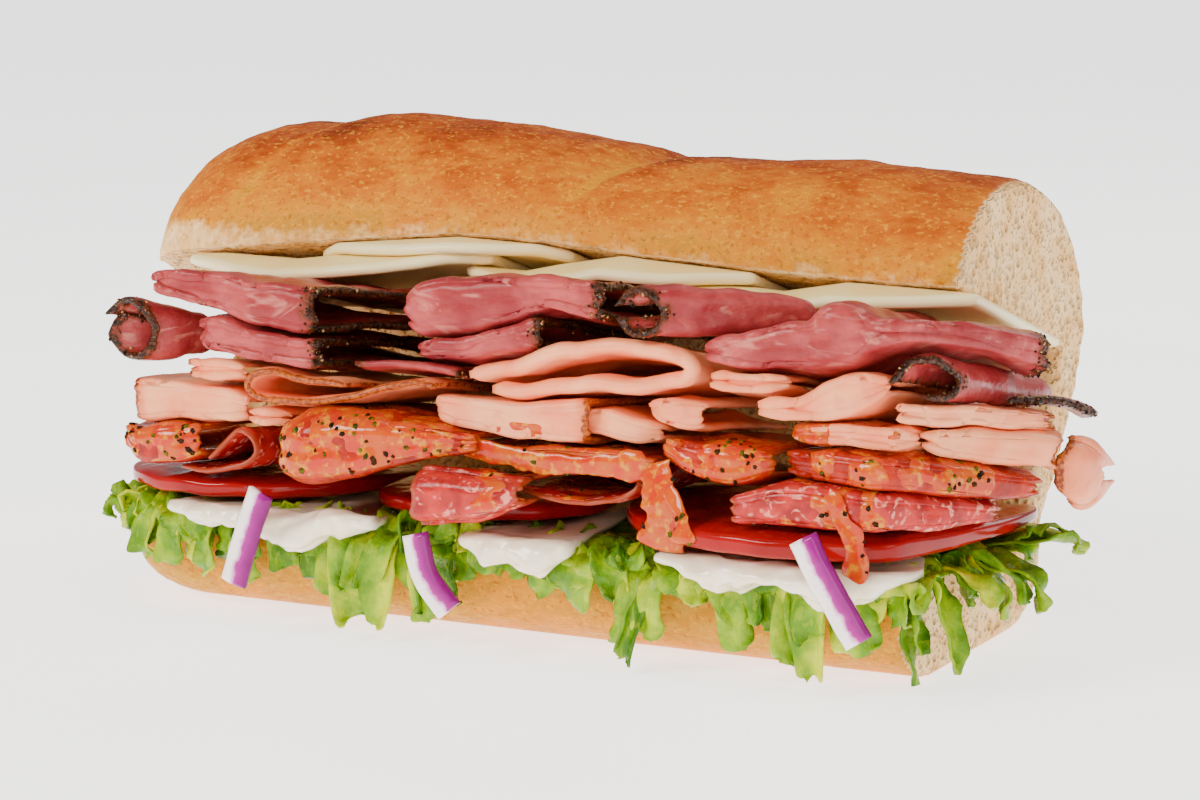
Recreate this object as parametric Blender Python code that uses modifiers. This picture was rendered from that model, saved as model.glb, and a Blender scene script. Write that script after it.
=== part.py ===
"""An Italian sandwich: a hinged sub roll, rounded at its left end and cut flat at its right end, filled
with shredded lettuce, mayonnaise, tomato, onion, salami, pepperoni, ham, peppered beef and cheese.

Lengths are in millimetres and MM turns them to metres. +X runs along the roll to its cut end, -Y is the
open front and +Z is up. The origin is on the table, near the middle of the roll.

The meats, tomatoes and salad are laid out as flat layers, which keep clear of each other. press() then
closes the roll on the layers: it lowers everything behind the front edge, as the tilted top half does.
swing() leans what lies past the cut end towards the back.
"""

import math
import random

import bmesh
import bpy
import numpy as np
from mathutils import Matrix, Vector

MM = 0.001
CLEAR = 0.35

# The roll
CUT_END = 75.0
ROUND_START = -58.0
ROUND_END = -81.5
END_LEAN = 5.0
LEAN_START = -40.0
LEAN_HEIGHTS = ((14.0, -0.8), (56.0, 1.3))
BOTTOM_WIDTH = 64.0
BOTTOM_MIDDLE = 1.0
BOTTOM_HEIGHT = 16.4
TOP_WIDTH = 63.5
TOP_EDGE = (-9.0, 60.0)
TOP_TILT = math.radians(-16.7)
ARCH = ((-80, -2.2), (-62, -0.8), (-40, 2.0), (-15, 4.3), (5, 3.6), (20, 2.3), (45, 0.8), (76, 0.0))
CROWN = (
    (-80, 27.0), (-60, 29.4), (-39, 28.8), (-15, 25.0), (0, 23.4),
    (20, 22.6), (32, 23.4), (48, 24.6), (76, 23.0),
)
SPINE_WALL = 11.0

# The score lines across the top crust: where each crosses the roll's ridge, and its depth
SCORES = ((-46.5, 0.8), (20.0, 2.0))
SCORE_WIDTH = 4.5
SCORE_SLANT = 0.5
RIDGE = 25.0

# The filling's height behind its front edge, as a share of its height at the front
PRESS = ((-38.0, 1.0), (-18.0, 0.88), (-9.0, 0.84), (36.0, 0.55))

# All the layers share one soft ripple, so they stay clear of each other: its height and its size
RIPPLE = 0.16
RIPPLE_SIZE = (1.6, 4.3)

# Past SWING_START the layers swing back by SWING for each unit along, and in and down by shares of that
SWING_START = 76.0
SWING = 1.1
SWING_SHARES = (0.36, 0.165)
SWING_BASE = 21.0
SWING_BLEND = 10.0

# How thick each sort of slice is
CHEESE = 1.8
SALAMI = 1.15
THIN_HAM = 1.1
HAM = 1.4
FOLDED_HAM = 2.6
BEEF = 1.5
LEAF = 0.8
ONION = (4.6, 1.8)

# The slices of cheese lie this far back, bow this much at their corners, and hang over the bread's edge
CHEESE_BACK = 30.0
CHEESE_BOW = 9.0
CHEESE_HANG = 0.014

# The mayonnaise: the thin smear's height, how far forward it lies and how far back it is smeared
MAYO_TAIL = (19.15, 20.25)
MAYO_REACH = -37.3
MAYO_SMEAR = 40.0

# The lettuce's core, along, across and in height
LETTUCE_ENDS = (-73.0, 78.5)
LETTUCE_MIDDLE = -3.5
LETTUCE_HALF = 26.0
LETTUCE_FACE = (16.75, 18.75)
SHRED_ROOT = 25.5

COLOURS = {
    "crust": ((0.72, 0.42, 0.17), 0.55),
    "cheese": ((0.93, 0.89, 0.72), 0.35),
    "beef": ((0.66, 0.30, 0.32), 0.40),
    "ham": ((0.90, 0.64, 0.60), 0.35),
    "pepperoni": ((0.80, 0.20, 0.06), 0.25),
    "salami": ((0.72, 0.28, 0.28), 0.30),
    "tomato": ((0.78, 0.08, 0.04), 0.20),
    "mayonnaise": ((0.94, 0.90, 0.83), 0.30),
    "lettuce": ((0.45, 0.66, 0.14), 0.35),
    "onion": ((0.86, 0.78, 0.86), 0.30),
}


def material(name):
    """The named Principled material, made once."""
    found = bpy.data.materials.get(name)
    if found:
        return found
    colour, roughness = COLOURS[name]
    made = bpy.data.materials.new(name)
    made.use_nodes = True
    shader = made.node_tree.nodes["Principled BSDF"]
    shader.inputs["Base Color"].default_value = (*colour, 1.0)
    shader.inputs["Roughness"].default_value = roughness
    shader.inputs["Metallic"].default_value = 0.0
    made.diffuse_color = (*colour, 1.0)
    return made


def curve(points, t):
    """The point at share t of a smooth Catmull-Rom curve through evenly weighted points."""
    spans = len(points) - 1
    place = min(max(t, 0.0), 1.0) * spans
    i = min(int(place), spans - 1)
    f = place - i
    b, c = points[i], points[i + 1]
    a = points[i - 1] if i > 0 else 2 * b - c
    d = points[i + 2] if i + 2 <= spans else 2 * c - b
    return 0.5 * (
        2 * b + (c - a) * f + (2 * a - 5 * b + 4 * c - d) * f**2 + (3 * b - a - 3 * c + d) * f**3
    )


def between(x, knots):
    """Straight-line interpolation in a table of (place, value) knots."""
    return float(np.interp(x, [k[0] for k in knots], [k[1] for k in knots]))


def press(p):
    """Where a point of the flat layout lies once the roll is closed on the filling."""
    share = between(p.y, PRESS)
    if p.z <= BOTTOM_HEIGHT:
        return Vector(p)
    ripple = RIPPLE * math.sin(p.x / RIPPLE_SIZE[0]) * math.sin(p.y / RIPPLE_SIZE[1])
    return Vector((p.x, p.y, BOTTOM_HEIGHT + (p.z - BOTTOM_HEIGHT) * share + ripple))


def swing(p):
    """Where a point of the closed layout lies once the layers past the cut end lean back."""
    past = SWING * max(0.0, p.x - SWING_START)
    lowered = min(1.0, max(0.0, (p.z - SWING_BASE) / SWING_BLEND))
    return Vector((p.x - SWING_SHARES[0] * past, p.y + past, p.z - SWING_SHARES[1] * past * lowered))


def finish(name, bm, colour, collection, angle=50):
    """A named object from a bmesh in millimetres."""
    bmesh.ops.scale(bm, vec=(MM, MM, MM), verts=bm.verts)
    mesh = bpy.data.meshes.new(name)
    bm.to_mesh(mesh)
    bm.free()
    mesh.materials.append(material(colour))
    mesh.shade_smooth()
    mesh.set_sharp_from_angle(angle=math.radians(angle))
    made = bpy.data.objects.new(name, mesh)
    collection.objects.link(made)
    return made


def thickened(bm, thickness):
    """The bmesh of an open surface given an even thickness by a Solidify modifier."""
    mesh = bpy.data.meshes.new("surface")
    bm.to_mesh(mesh)
    bm.free()
    holder = bpy.data.objects.new("surface", mesh)
    bpy.context.scene.collection.objects.link(holder)
    solidify = holder.modifiers.new("thickness", "SOLIDIFY")
    solidify.thickness = thickness
    solidify.offset = 0.0
    graph = bpy.context.evaluated_depsgraph_get()
    solid = bmesh.new()
    solid.from_object(holder, graph)
    bpy.data.objects.remove(holder)
    bpy.data.meshes.remove(mesh)
    return solid


def sheet(stations, thickness, across, along):
    """A solid sheet through the stations, each a row of control points, its two faces split alike."""
    rows = [[Vector(p) for p in row] for row in stations]
    bm = bmesh.new()
    bmesh.ops.create_grid(bm, x_segments=across, y_segments=along, size=1.0)
    for v in bm.verts:
        u, w = (v.co.x + 1) / 2, (v.co.y + 1) / 2
        v.co = curve([curve(row, u) for row in rows], w)
    bmesh.ops.triangulate(bm, faces=bm.faces)
    return thickened(bm, thickness)


def slice_of(name, colour, stations, thickness, collection, across=12, along=3):
    """One slice of meat, folded in the flat layout and then pressed."""
    bm = sheet(stations, thickness, across, along)
    for v in bm.verts:
        v.co = swing(press(v.co))
    return finish(name, bm, colour, collection)


def folded(rows, thickness, legs=(44.0, 44.0), pinch=0.12):
    """Stations of a slice folded over at the front, its fold along X.

    Each row is (x, front, low, high) of the fold's outside, with the two legs' lengths and the amount that
    each leg's end lies further along X as optional further values.
    """
    stations = []
    for row in rows:
        x, front, low, high = row[:4]
        lower, upper = row[4:6] if len(row) > 4 else legs
        shift_low, shift_high = row[6:8] if len(row) > 6 else (0.0, 0.0)
        half = thickness / 2
        low, high, front = low + half, high - half, front + half
        tall = high - low
        close = pinch * tall
        stations.append(
            [
                (x + shift_low, front + lower, low + close),
                (x + shift_low / 2, front + lower / 2, low + close / 2),
                (x, front + 0.42 * tall, low),
                (x, front + 0.05 * tall, low + 0.16 * tall),
                (x, front, low + 0.5 * tall),
                (x, front + 0.05 * tall, low + 0.84 * tall),
                (x, front + 0.42 * tall, high),
                (x + shift_high / 2, front + upper / 2, high - close / 2),
                (x + shift_high, front + upper, high - close),
            ]
        )
    return stations


def looped(path, front, steps, wave=0.8):
    """Stations of a slice curled about an axis that runs back from the front.

    path is the front edge, seen from the front, as (x, z) points. Each step is (back, right, up, width,
    height) of one station: its shift, and its size about the middle of the path.
    """
    middle_x = sum(p[0] for p in path) / len(path)
    middle_z = sum(p[1] for p in path) / len(path)
    return [
        [
            (
                middle_x + (x - middle_x) * width + right,
                front + back + wave * math.sin(1.9 * i) * width,
                middle_z + (z - middle_z) * height + up,
            )
            for i, (x, z) in enumerate(path)
        ]
        for back, right, up, width, height in steps
    ]


def arc_path(x, z, wide, tall, start, end, count=9, spiral=0.0):
    """A curl's front edge: an arc of an ellipse from start to end, in degrees, that grows by spiral."""
    path = []
    for i in range(count):
        share = i / (count - 1)
        angle = math.radians(start + (end - start) * share)
        size = 1.0 + spiral * share
        path.append((x + wide * size * math.cos(angle), z + tall * size * math.sin(angle)))
    return path


def end_share(x):
    """How wide the roll is at x, as a share, where its left end rounds off."""
    if x >= ROUND_START:
        return 1.0
    u = (ROUND_START - x) / (ROUND_START - ROUND_END)
    return max(0.0, 1.0 - u**2.4) ** (1 / 2.4)


def crown(x, y):
    """The height of the top half over its cut face, with the lobes between the score lines."""
    along = x - SCORE_SLANT * (y - RIDGE)
    height = between(x, CROWN)
    for place, depth in SCORES:
        height -= depth * math.exp(-(((along - place) / SCORE_WIDTH) ** 2))
    return height


def cut_plane(x, y):
    """Height of the top half's cut face, which is a little arched along the roll."""
    return TOP_EDGE[1] + between(x, ARCH) + (y - TOP_EDGE[0]) * math.tan(TOP_TILT)


def roll_section(x, around=7):
    """The roll's C-shaped outline at x, as points that run round it."""
    share = end_share(x)
    tall = share**0.8
    half = BOTTOM_WIDTH / 2
    points = []

    def bottom(u):
        drop = (1 - abs(u) ** 3.4) ** (1 / 3.4)
        z = max(0.0, BOTTOM_HEIGHT - (BOTTOM_HEIGHT + 1.0) * drop)
        return BOTTOM_MIDDLE + u * half * share, BOTTOM_HEIGHT - (BOTTOM_HEIGHT - z) * tall

    middle = TOP_WIDTH / 2
    lift = between(x, ARCH)
    forward = Vector((math.cos(TOP_TILT), math.sin(TOP_TILT)))
    outward = Vector((-math.sin(TOP_TILT), math.cos(TOP_TILT)))
    corner = Vector((TOP_EDGE[0], TOP_EDGE[1] + lift))
    centre = corner + forward * middle

    def top(u):
        y = (centre + forward * (u * middle * share)).y
        flat = centre.x + forward.x * u * middle
        height = crown(x, flat) * (1 - abs(u) ** 2.1) ** (1 / 2.0) * tall
        return tuple(centre + forward * (u * middle * share) + outward * height)

    for i in range(around * 2 - 1):
        angle = math.pi * i / (2 * around - 2)
        points.append(bottom(-math.copysign(abs(math.cos(angle)) ** 0.75, math.cos(angle))))
    back_low = Vector(points[-1])
    back_high = Vector(top(1.0))
    spine = back_high - back_low
    bulge = Vector((spine.y, -spine.x)).normalized() * 1.5 * share
    points += [tuple(back_low + spine * t + bulge * math.sin(math.pi * t)) for t in (0.33, 0.67)]
    for i in range(around * 2 - 1):
        angle = math.pi * i / (2 * around - 2)
        points.append(top(math.copysign(abs(math.cos(angle)) ** 0.85, math.cos(angle))))
    wall = SPINE_WALL * share
    inner_high = centre + forward * (middle * share - wall)
    inner_low = Vector((back_low.x - wall * 0.85, BOTTOM_HEIGHT - 0.2))
    front_top, front_low = Vector(points[-1]), Vector(points[0])
    points += [tuple(front_top.lerp(inner_high, t)) for t in (0.25, 0.5, 0.75, 1.0)]
    points += [tuple(inner_high.lerp(inner_low, t) + bulge) for t in (0.33, 0.67)]
    points += [tuple(inner_low.lerp(front_low, t)) for t in (0.0, 0.25, 0.5, 0.75)]
    return points


def loft(rings):
    """A closed bmesh through rings of points, which all have as many, with flat ends."""
    bm = bmesh.new()
    loops = [[bm.verts.new(p) for p in ring] for ring in rings]
    count = len(rings[0])
    for first, second in zip(loops, loops[1:]):
        for i in range(count):
            j = (i + 1) % count
            bm.faces.new((first[i], first[j], second[j], second[i]))
    bm.faces.new(reversed(loops[0]))
    bm.faces.new(loops[-1])
    bmesh.ops.recalc_face_normals(bm, faces=bm.faces)
    return bm


def roll_of_bread(collection):
    """The sub roll, cut along its front and hinged at its back."""
    rounding = [ROUND_END + 0.05, ROUND_END + 1.0, -79.0, -75.5, -71.0, -65.5, -59.0]
    straight = list(np.linspace(-51.0, CUT_END, 15))
    rings = []
    for x in rounding + straight:
        near = min(1.0, max(0.0, (LEAN_START - x) / (LEAN_START - ROUND_END)))
        rings.append([(x - END_LEAN * near * between(z, LEAN_HEIGHTS), y, z) for y, z in roll_section(x)])
    return finish("bread_roll", loft(rings), "crust", collection, angle=40)


def cheese_slice(name, left, right, front, lanes, collection):
    """A slice of cheese under the top half, its front edge hanging over.

    lanes gives (x, lane) knots: lane 0 lies on the bread's cut face and lane 1 under another slice.
    """
    rows = []
    for y_share in (0.0, 0.12, 0.3, 0.6, 1.0):
        row = []
        for i in range(7):
            u = i / 6
            x = left + (right - left) * u
            edge = front + CHEESE_BOW * abs(2 * u - 1) ** 2.6
            y = edge + (CHEESE_BACK - edge) * y_share
            under = CLEAR + CHEESE / 2 + (CHEESE + CLEAR) * between(x, lanes)
            over = max(0.0, TOP_EDGE[0] + 1.0 - y)
            flat = cut_plane(x, max(y, TOP_EDGE[0] + 1.0))
            row.append((x, y, flat - under - CHEESE_HANG * over**2))
        rows.append(row)
    return finish(name, sheet(rows, CHEESE, 10, 5), "cheese", collection)


def tomato_slice(name, x, y, radius, low, high, collection):
    """A round slice, a little uneven, with softened edges."""
    bm = bmesh.new()
    bmesh.ops.create_cone(
        bm, cap_ends=True, segments=24, radius1=radius, radius2=radius, depth=high - low
    )
    rim = [e for e in bm.edges if abs(e.verts[0].co.z - e.verts[1].co.z) < 1e-6]
    bmesh.ops.bevel(bm, geom=rim, offset=1.1, segments=1, affect="EDGES", profile=0.5)
    for v in bm.verts:
        angle = math.atan2(v.co.y, v.co.x)
        uneven = 1 + 0.012 * math.sin(3 * angle + x) + 0.008 * math.sin(5 * angle)
        v.co = swing(press(Vector((x + v.co.x * uneven, y + v.co.y * uneven, (low + high) / 2 + v.co.z))))
    return finish(name, bm, "tomato", collection, angle=60)


def mayonnaise(name, front, knots, collection):
    """Mayonnaise on the salad: a lumpy bead that swells out at the front of a thin smear.

    Each knot is (x, low, high, back) of the bead, back being its distance behind the front line.
    """
    tail_low, tail_high = MAYO_TAIL
    first, last = knots[0][0], knots[-1][0]
    count = max(6, round((last - first) / 4.0))
    rings = []
    for i in range(count + 1):
        share = i / count
        x = first + (last - first) * share
        low, high, back = (between(x, [(k[0], k[n]) for k in knots]) for n in (1, 2, 3))
        full = max(0.15, math.sin(math.pi * (0.04 + 0.92 * share))) ** 0.45
        low = tail_low - (tail_low - 0.1 - low) * full
        high = tail_high + (high - tail_high) * full
        middle, tall = (low + high) / 2, (high - low) / 2
        reach = MAYO_REACH + back
        deep = (MAYO_REACH - front) * (0.3 + 0.7 * full) / 1.5
        smear = reach + 2.0 + MAYO_SMEAR * math.sin(math.pi * share)
        ring = [
            (x, reach - deep / 2 - deep * math.cos(a), middle + tall * math.sin(a))
            for a in np.linspace(-2.0, 2.0, 7)
        ]
        ring += [(x, reach + 1.0, tail_high), (x, smear, tail_high)]
        ring += [(x, smear, tail_low), (x, reach + 1.0, tail_low)]
        rings.append([tuple(press(Vector(p))) for p in ring])
    return finish(name, loft(rings), "mayonnaise", collection)


def onion_strip(name, points, collection):
    """A curved strip of onion that hangs in front of the tomatoes, along the given points."""
    wide, thick = ONION
    path = [Vector(p) for p in points]
    rings = []
    for i in range(7):
        here = curve(path, i / 6)
        ahead = (curve(path, min(1, i / 6 + 0.02)) - curve(path, max(0, i / 6 - 0.02))).normalized()
        side = ahead.cross(Vector((0, -1, 0))).normalized() * wide / 2
        out = ahead.cross(side).normalized() * thick / 2
        rings.append([tuple(here + side * a + out * b)
                      for a, b in ((-1, -0.8), (0, -1), (1, -0.8), (1, 0.8), (0, 1), (-1, 0.8))])
    return finish(name, loft(rings), "onion", collection, angle=40)


def shred(points, wide, facing, twist, collection):
    """One thin strip of lettuce through the points, of a width that changes along it."""
    path = [Vector(p) for p in points]
    rows = []
    for i in range(5):
        t = i / 4
        here = curve(path, t)
        ahead = (curve(path, min(1, t + 0.05)) - curve(path, max(0, t - 0.05))).normalized()
        across = Vector((math.cos(facing + twist * t), math.sin(facing + twist * t), 0.0))
        across = (across - ahead * across.dot(ahead)).normalized()
        half = wide / 2 * (0.75 + 0.35 * math.sin(2.6 * t + twist)) * (1.0 if i < 4 else 0.35)
        rows.append([here - across * half, here + across * half])
    bm = sheet(rows, LEAF, 1, 4)
    mesh = bpy.data.meshes.new("shred")
    bm.to_mesh(mesh)
    bm.free()
    made = bpy.data.objects.new("shred", mesh)
    collection.objects.link(made)
    return made


def lettuce_heap(name, collection):
    """The layer of shredded lettuce with the shreds that hang over the bread fused on."""
    rng = random.Random(7)
    low, high = LETTUCE_FACE
    first, last = LETTUCE_ENDS
    middle = (low + high) / 2
    bm = bmesh.new()
    bmesh.ops.create_grid(bm, x_segments=14, y_segments=2, size=1.0)
    for v in bm.verts:
        x = first + (last - first) * (v.co.x + 1) / 2
        share = max(0.3, end_share(x - END_LEAN))
        y = BOTTOM_MIDDLE + (LETTUCE_MIDDLE - BOTTOM_MIDDLE + LETTUCE_HALF * v.co.y) * share
        v.co = Vector((x, y, middle + 0.12 * math.sin(0.31 * x + 0.4 * y)))
    core = thickened(bm, high - low - 0.3)
    for v in core.verts:
        v.co = press(v.co)
    core_object = finish(name, core, "lettuce", collection, angle=40)

    strands = bpy.data.collections.new("shreds")
    bpy.context.scene.collection.children.link(strands)
    for x, tip, lean, wide, out in SHREDS:
        root = (x - lean * 0.3, BOTTOM_MIDDLE - SHRED_ROOT * end_share(x - END_LEAN), middle)
        edge = (x, -31.8, middle + 0.1)
        over = (x + lean * 0.3, -out, min(middle - 1.0, (middle + tip) / 2 + 3.0))
        end = (x + lean, -out - 0.3 + rng.uniform(-0.3, 0.3), tip)
        shred((root, edge, over, end), wide, 0.0, rng.uniform(-0.35, 0.35), strands)
    for y, tip, reach, wide in END_SHREDS:
        root = (72.0, y, middle)
        edge = (76.4, y, middle + 0.1)
        over = (reach - 1.0, y - 1.5, (middle + tip) / 2 + 2.0)
        end = (reach, y - 2.5, tip)
        shred((root, edge, over, end), wide, math.pi / 2, rng.uniform(-0.4, 0.4), strands)
    for each in strands.objects:
        each.data.transform(Matrix.Scale(MM, 4))
    union = core_object.modifiers.new("shreds", "BOOLEAN")
    union.operation = "UNION"
    union.operand_type = "COLLECTION"
    union.collection = strands
    union.solver = "EXACT"
    graph = bpy.context.evaluated_depsgraph_get()
    mesh = bpy.data.meshes.new_from_object(core_object.evaluated_get(graph))
    core_object.modifiers.clear()
    core_object.data = mesh
    for each in list(strands.objects):
        bpy.data.objects.remove(each)
    bpy.data.collections.remove(strands)
    mesh.shade_smooth()
    mesh.set_sharp_from_angle(angle=math.radians(35))
    return core_object


# Shreds along the front: x, height of the tip, lean, width and how far out they hang
SHREDS = (
    (-66.5, 13.2, -1.5, 4.4, 31.9),
    (-61.0, 9.5, -2.0, 5.2, 33.5),
    (-55.0, 8.5, -2.0, 5.4, 34.6),
    (-48.0, 7.5, -1.0, 5.4, 35.0),
    (-41.0, 6.5, -1.5, 5.2, 35.2),
    (-34.5, 10.5, 2.0, 5.4, 34.8),
    (-27.5, 8.0, 1.5, 5.2, 35.4),
    (-20.5, 3.4, 1.0, 5.6, 36.0),
    (-13.5, 2.6, -1.5, 5.2, 36.2),
    (-7.5, 4.2, 2.5, 4.6, 36.2),
    (-0.5, 11.5, 1.5, 5.2, 35.4),
    (6.5, 13.0, -1.0, 5.4, 35.0),
    (13.5, 10.5, 2.5, 5.2, 35.4),
    (20.5, 9.0, 1.5, 5.6, 36.0),
    (27.5, 11.5, 1.5, 5.2, 36.2),
    (34.0, 2.2, -3.5, 4.4, 36.4),
    (40.5, 12.0, 3.0, 5.4, 35.6),
    (47.5, 5.5, 3.0, 5.4, 36.2),
    (54.5, 9.0, 1.0, 5.4, 35.6),
    (61.5, 3.0, 1.0, 5.4, 36.4),
    (68.5, 6.5, 1.5, 5.2, 36.0),
    (75.0, 12.0, 2.0, 4.8, 34.8),
)
# Shreds past the cut end: y, height of the tip, how far they reach and width
END_SHREDS = (
    (-25.0, 3.4, 82.5, 4.5),
    (-17.5, 12.5, 86.0, 6.0),
    (-9.0, 10.5, 90.0, 6.5),
    (3.0, 18.5, 92.0, 7.0),
)

# Beads of mayonnaise: name, the front's y, and (x, low, high, back) along the bead
BEADS = (
    ("mayonnaise_1", -42.0, ((-53, 17.5, 21.0, 0), (-48, 15.8, 20.8, 0), (-42, 17.6, 20.8, 0),
     (-33, 15.4, 20.8, 0), (-27, 13.4, 20.6, 0), (-22, 15.2, 22.2, 0), (-14, 18.0, 22.2, 0))),
    ("mayonnaise_2", -42.0, ((3, 17.5, 20.4, 0), (7, 14.6, 20.4, 0), (12, 16.4, 20.4, 0),
     (17, 13.8, 20.4, 0), (22, 16.5, 20.6, 0))),
    ("mayonnaise_3", -43.0, ((38, 18.0, 20.8, 0), (43, 17.0, 20.8, 0), (50, 14.0, 20.6, 0),
     (57, 16.8, 20.6, 0), (63, 15.5, 20.6, 0), (69, 13.2, 20.6, 0), (74, 15.8, 20.7, 1),
     (79, 18.9, 20.5, 3))),
)
# Round slices of tomato: name, middle, radius, underside and top
TOMATOES = (
    ("tomato_1", -49.6, -12.0, 25.0, 20.7, 24.7),
    ("tomato_2", -3.5, -15.0, 20.0, 20.7, 24.4),
    ("tomato_3", 54.8, -11.0, 32.7, 21.1, 25.9),
)
# Strips of onion that hang over the front: name, and the points they pass through
ONIONS = (
    ("onion_1", ((-31.6, -44.2, 24.6), (-34.5, -44.4, 17.0), (-37.2, -44.2, 9.0))),
    ("onion_2", ((-2.6, -44.2, 20.4), (-0.8, -44.4, 14.0), (3.6, -44.2, 8.6))),
    ("onion_3", ((65.4, -46.3, 26.4), (69.4, -46.6, 19.5), (74.6, -46.2, 11.4))),
)
# Slices of cheese: name, left end, right end, front, and knots of (x, lane)
CHEESES = (
    ("cheese_1", -69.0, -8.0, -18.0, ((-62, 0), (-47, 1))),
    ("cheese_2", -44.0, 5.0, -14.0, ((-44, 0), (5, 0))),
    ("cheese_3", -13.0, 40.0, -18.0, ((-2, 2.14), (7, 1.08), (16, 0))),
    ("cheese_4", 20.0, 78.0, -18.0, ((45, 1.08), (56, 0))),
)

# Slices folded along the front: name, sort, thickness, rows of (x, front, low, high) and legs
FOLDS = (
    ("beef_1", "beef", BEEF, (52, 52), ((-57, -38, 55.4, 59.0), (-52, -38, 54.4, 59.6),
     (-44.2, -38, 53.2, 59.6), (-36.4, -38, 51.1, 58.8), (-25.4, -38, 50.2, 58.6, 52, 52, 15, 15))),
    ("beef_3", "beef", BEEF, (52, 52), ((-48.5, -37, 47.2, 52.0), (-44, -38, 46.2, 52.2),
     (-38, -38, 45.4, 50.6), (-31, -38, 44.8, 49.7), (-24.4, -38, 44.6, 49.7, 52, 52, 5.5, 5.5))),
    ("beef_4", "beef", BEEF, (52, 52), ((-8.5, -38, 51.2, 59.2), (-1.4, -38, 51.6, 61.6),
     (9.4, -38, 54.0, 62.2), (17.5, -38, 56.8, 62.2), (27.1, -38, 55.5, 62.0))),
    ("beef_5", "beef", BEEF, (14, 36), ((-6, -38, 47.3, 50.8), (1, -38, 47.7, 51.2),
     (8, -38, 48.9, 53.1), (16.5, -38, 50.8, 56.0))),
    ("beef_7", "beef", BEEF, (50, 50), ((44.5, -38, 49.9, 54.1), (51.8, -38, 49.8, 55.8),
     (58.4, -38, 49.9, 57.8), (61.8, -39, 50.1, 58.5), (65.4, -40, 50.4, 61.0), (69, -39, 51.3, 61.2),
     (73.7, -38, 54.6, 58.8), (83.2, -38, 55.8, 59.4, 40, 40, -2, -2),
     (92.5, -38, 54.8, 59.0, 24, 24, -6, -6), (99.4, -37, 53.0, 58.2, 12, 12, -6, -6))),
    ("ham_1", "ham", HAM, (50, 50), ((-61.2, -38, 33.0, 41.2), (-51.7, -38, 34.1, 40.9),
     (-44.7, -38, 34.4, 40.4), (-39.3, -38, 34.4, 39.9))),
    ("ham_2", "ham", THIN_HAM, (46, 46), ((-49.3, -38, 41.6, 44.8), (-45, -38, 41.4, 44.9),
     (-39.7, -38, 41.7, 44.8))),
    ("ham_4", "ham", THIN_HAM, (46, 46), ((-38.4, -38, 34.4, 37.6), (-34.5, -38.5, 34.4, 37.5),
     (-31.2, -38, 34.4, 37.3))),
    ("ham_6", "ham", HAM, (50, 50), ((-3.2, -37, 38.0, 42.0), (2.1, -38, 36.9, 42.2),
     (12.9, -38, 35.9, 41.6), (24.5, -38, 35.9, 43.6))),
    ("ham_7", "ham", THIN_HAM, (30, 30), ((17.5, -36, 37.7, 40.3), (24.5, -35.8, 37.7, 41.8),
     (30, -36.5, 36.8, 41.2), (35.4, -35, 36.7, 40.2))),
    ("ham_8", "ham", HAM, (32, 32), ((35, -37, 41.1, 44.1), (38.4, -38, 40.0, 44.4),
     (43.8, -38, 38.6, 45.4))),
    ("ham_9", "ham", THIN_HAM, (50, 50), ((45.4, -37, 45.9, 49.3), (52, -38, 46.1, 49.2),
     (58.0, -37, 46.6, 49.6))),
    ("ham_10", "ham", HAM, (50, 50), ((54, -38, 42.3, 45.6), (60.8, -38, 42.5, 46.2),
     (66, -38.5, 42.9, 49.2), (70.5, -39, 44.5, 50.6), (74.5, -38.5, 47.0, 51.0))),
    ("ham_11", "ham", THIN_HAM, (50, 50), ((76, -37, 43.2, 46.3), (79.3, -38, 43.2, 46.3),
     (88.4, -38, 43.6, 46.7, 30, 30, -4, -4), (100.5, -37, 43.6, 46.6, 12, 12, -7, -7))),
    ("ham_12", "ham", THIN_HAM, (38, 38), ((59.5, -37, 38.9, 42.0), (67.5, -38, 39.2, 42.4),
     (74, -38, 39.0, 42.6), (78.4, -37, 39.1, 42.4))),
    ("ham_13", "ham", HAM, (50, 50), ((80.3, -37.5, 39.2, 42.7),
     (86.6, -38.5, 38.2, 43.1, 36, 36, -2, -2), (96.2, -38.5, 37.9, 43.2, 24, 24, -4, -4),
     (101.5, -38, 37.0, 43.2, 14, 14, -5, -5))),
    ("ham_14", "ham", HAM, (8, 8), ((101.95, -37.4, 32.4, 43.0), (104.2, -36.8, 31.6, 42.4),
     (106.0, -35.4, 32.8, 41.0), (107.0, -33.5, 34.8, 39.2))),
    ("pepperoni_1", "pepperoni", SALAMI, (34, 34), ((-62.9, -37, 29.6, 32.4), (-59, -40, 26.3, 32.5),
     (-51.7, -40, 26.8, 33.6), (-47.6, -39, 28.3, 33.8))),
    ("pepperoni_2", "pepperoni", SALAMI, (36, 36), ((-30.2, -40, 28.8, 34.0), (-28.4, -42.5, 26.6, 36.2),
     (-23, -43.5, 26.2, 37.9), (-14, -43, 28.4, 38.2), (-4, -41, 31.4, 37.2), (5.6, -39, 33.2, 36.2))),
    ("pepperoni_4", "pepperoni", SALAMI, (30, 30), ((38, -37, 34.6, 38.0), (42.6, -38.5, 32.8, 38.0),
     (49, -39, 31.4, 37.8), (56.4, -38, 33.4, 37.4))),
    ("pepperoni_5", "pepperoni", SALAMI, (34, 34), ((58.8, -37, 33.8, 37.8), (68, -40, 33.4, 38.3),
     (80, -40.5, 33.2, 38.0, 30, 30, -2, -2), (90, -40, 32.7, 37.1, 20, 20, -4, -4),
     (98.6, -38.5, 32.8, 36.2, 12, 12, -5, -5))),
    ("salami_2", "salami", SALAMI, (6.6, 6.6), ((-2.7, -45.5, 21.5, 30.6), (7.5, -45, 23.4, 30.4),
     (15.3, -44.5, 26.3, 30.0))),
    ("salami_4", "salami", SALAMI, (38, 38), ((51.6, -42, 26.4, 30.6), (59.5, -42, 26.4, 33.0),
     (69.3, -41.5, 26.4, 32.9), (82.1, -41, 27.4, 32.6, 34, 34, -2, -2),
     (92.5, -40, 28.8, 31.8, 14, 14, -5, -5))),
)

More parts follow.
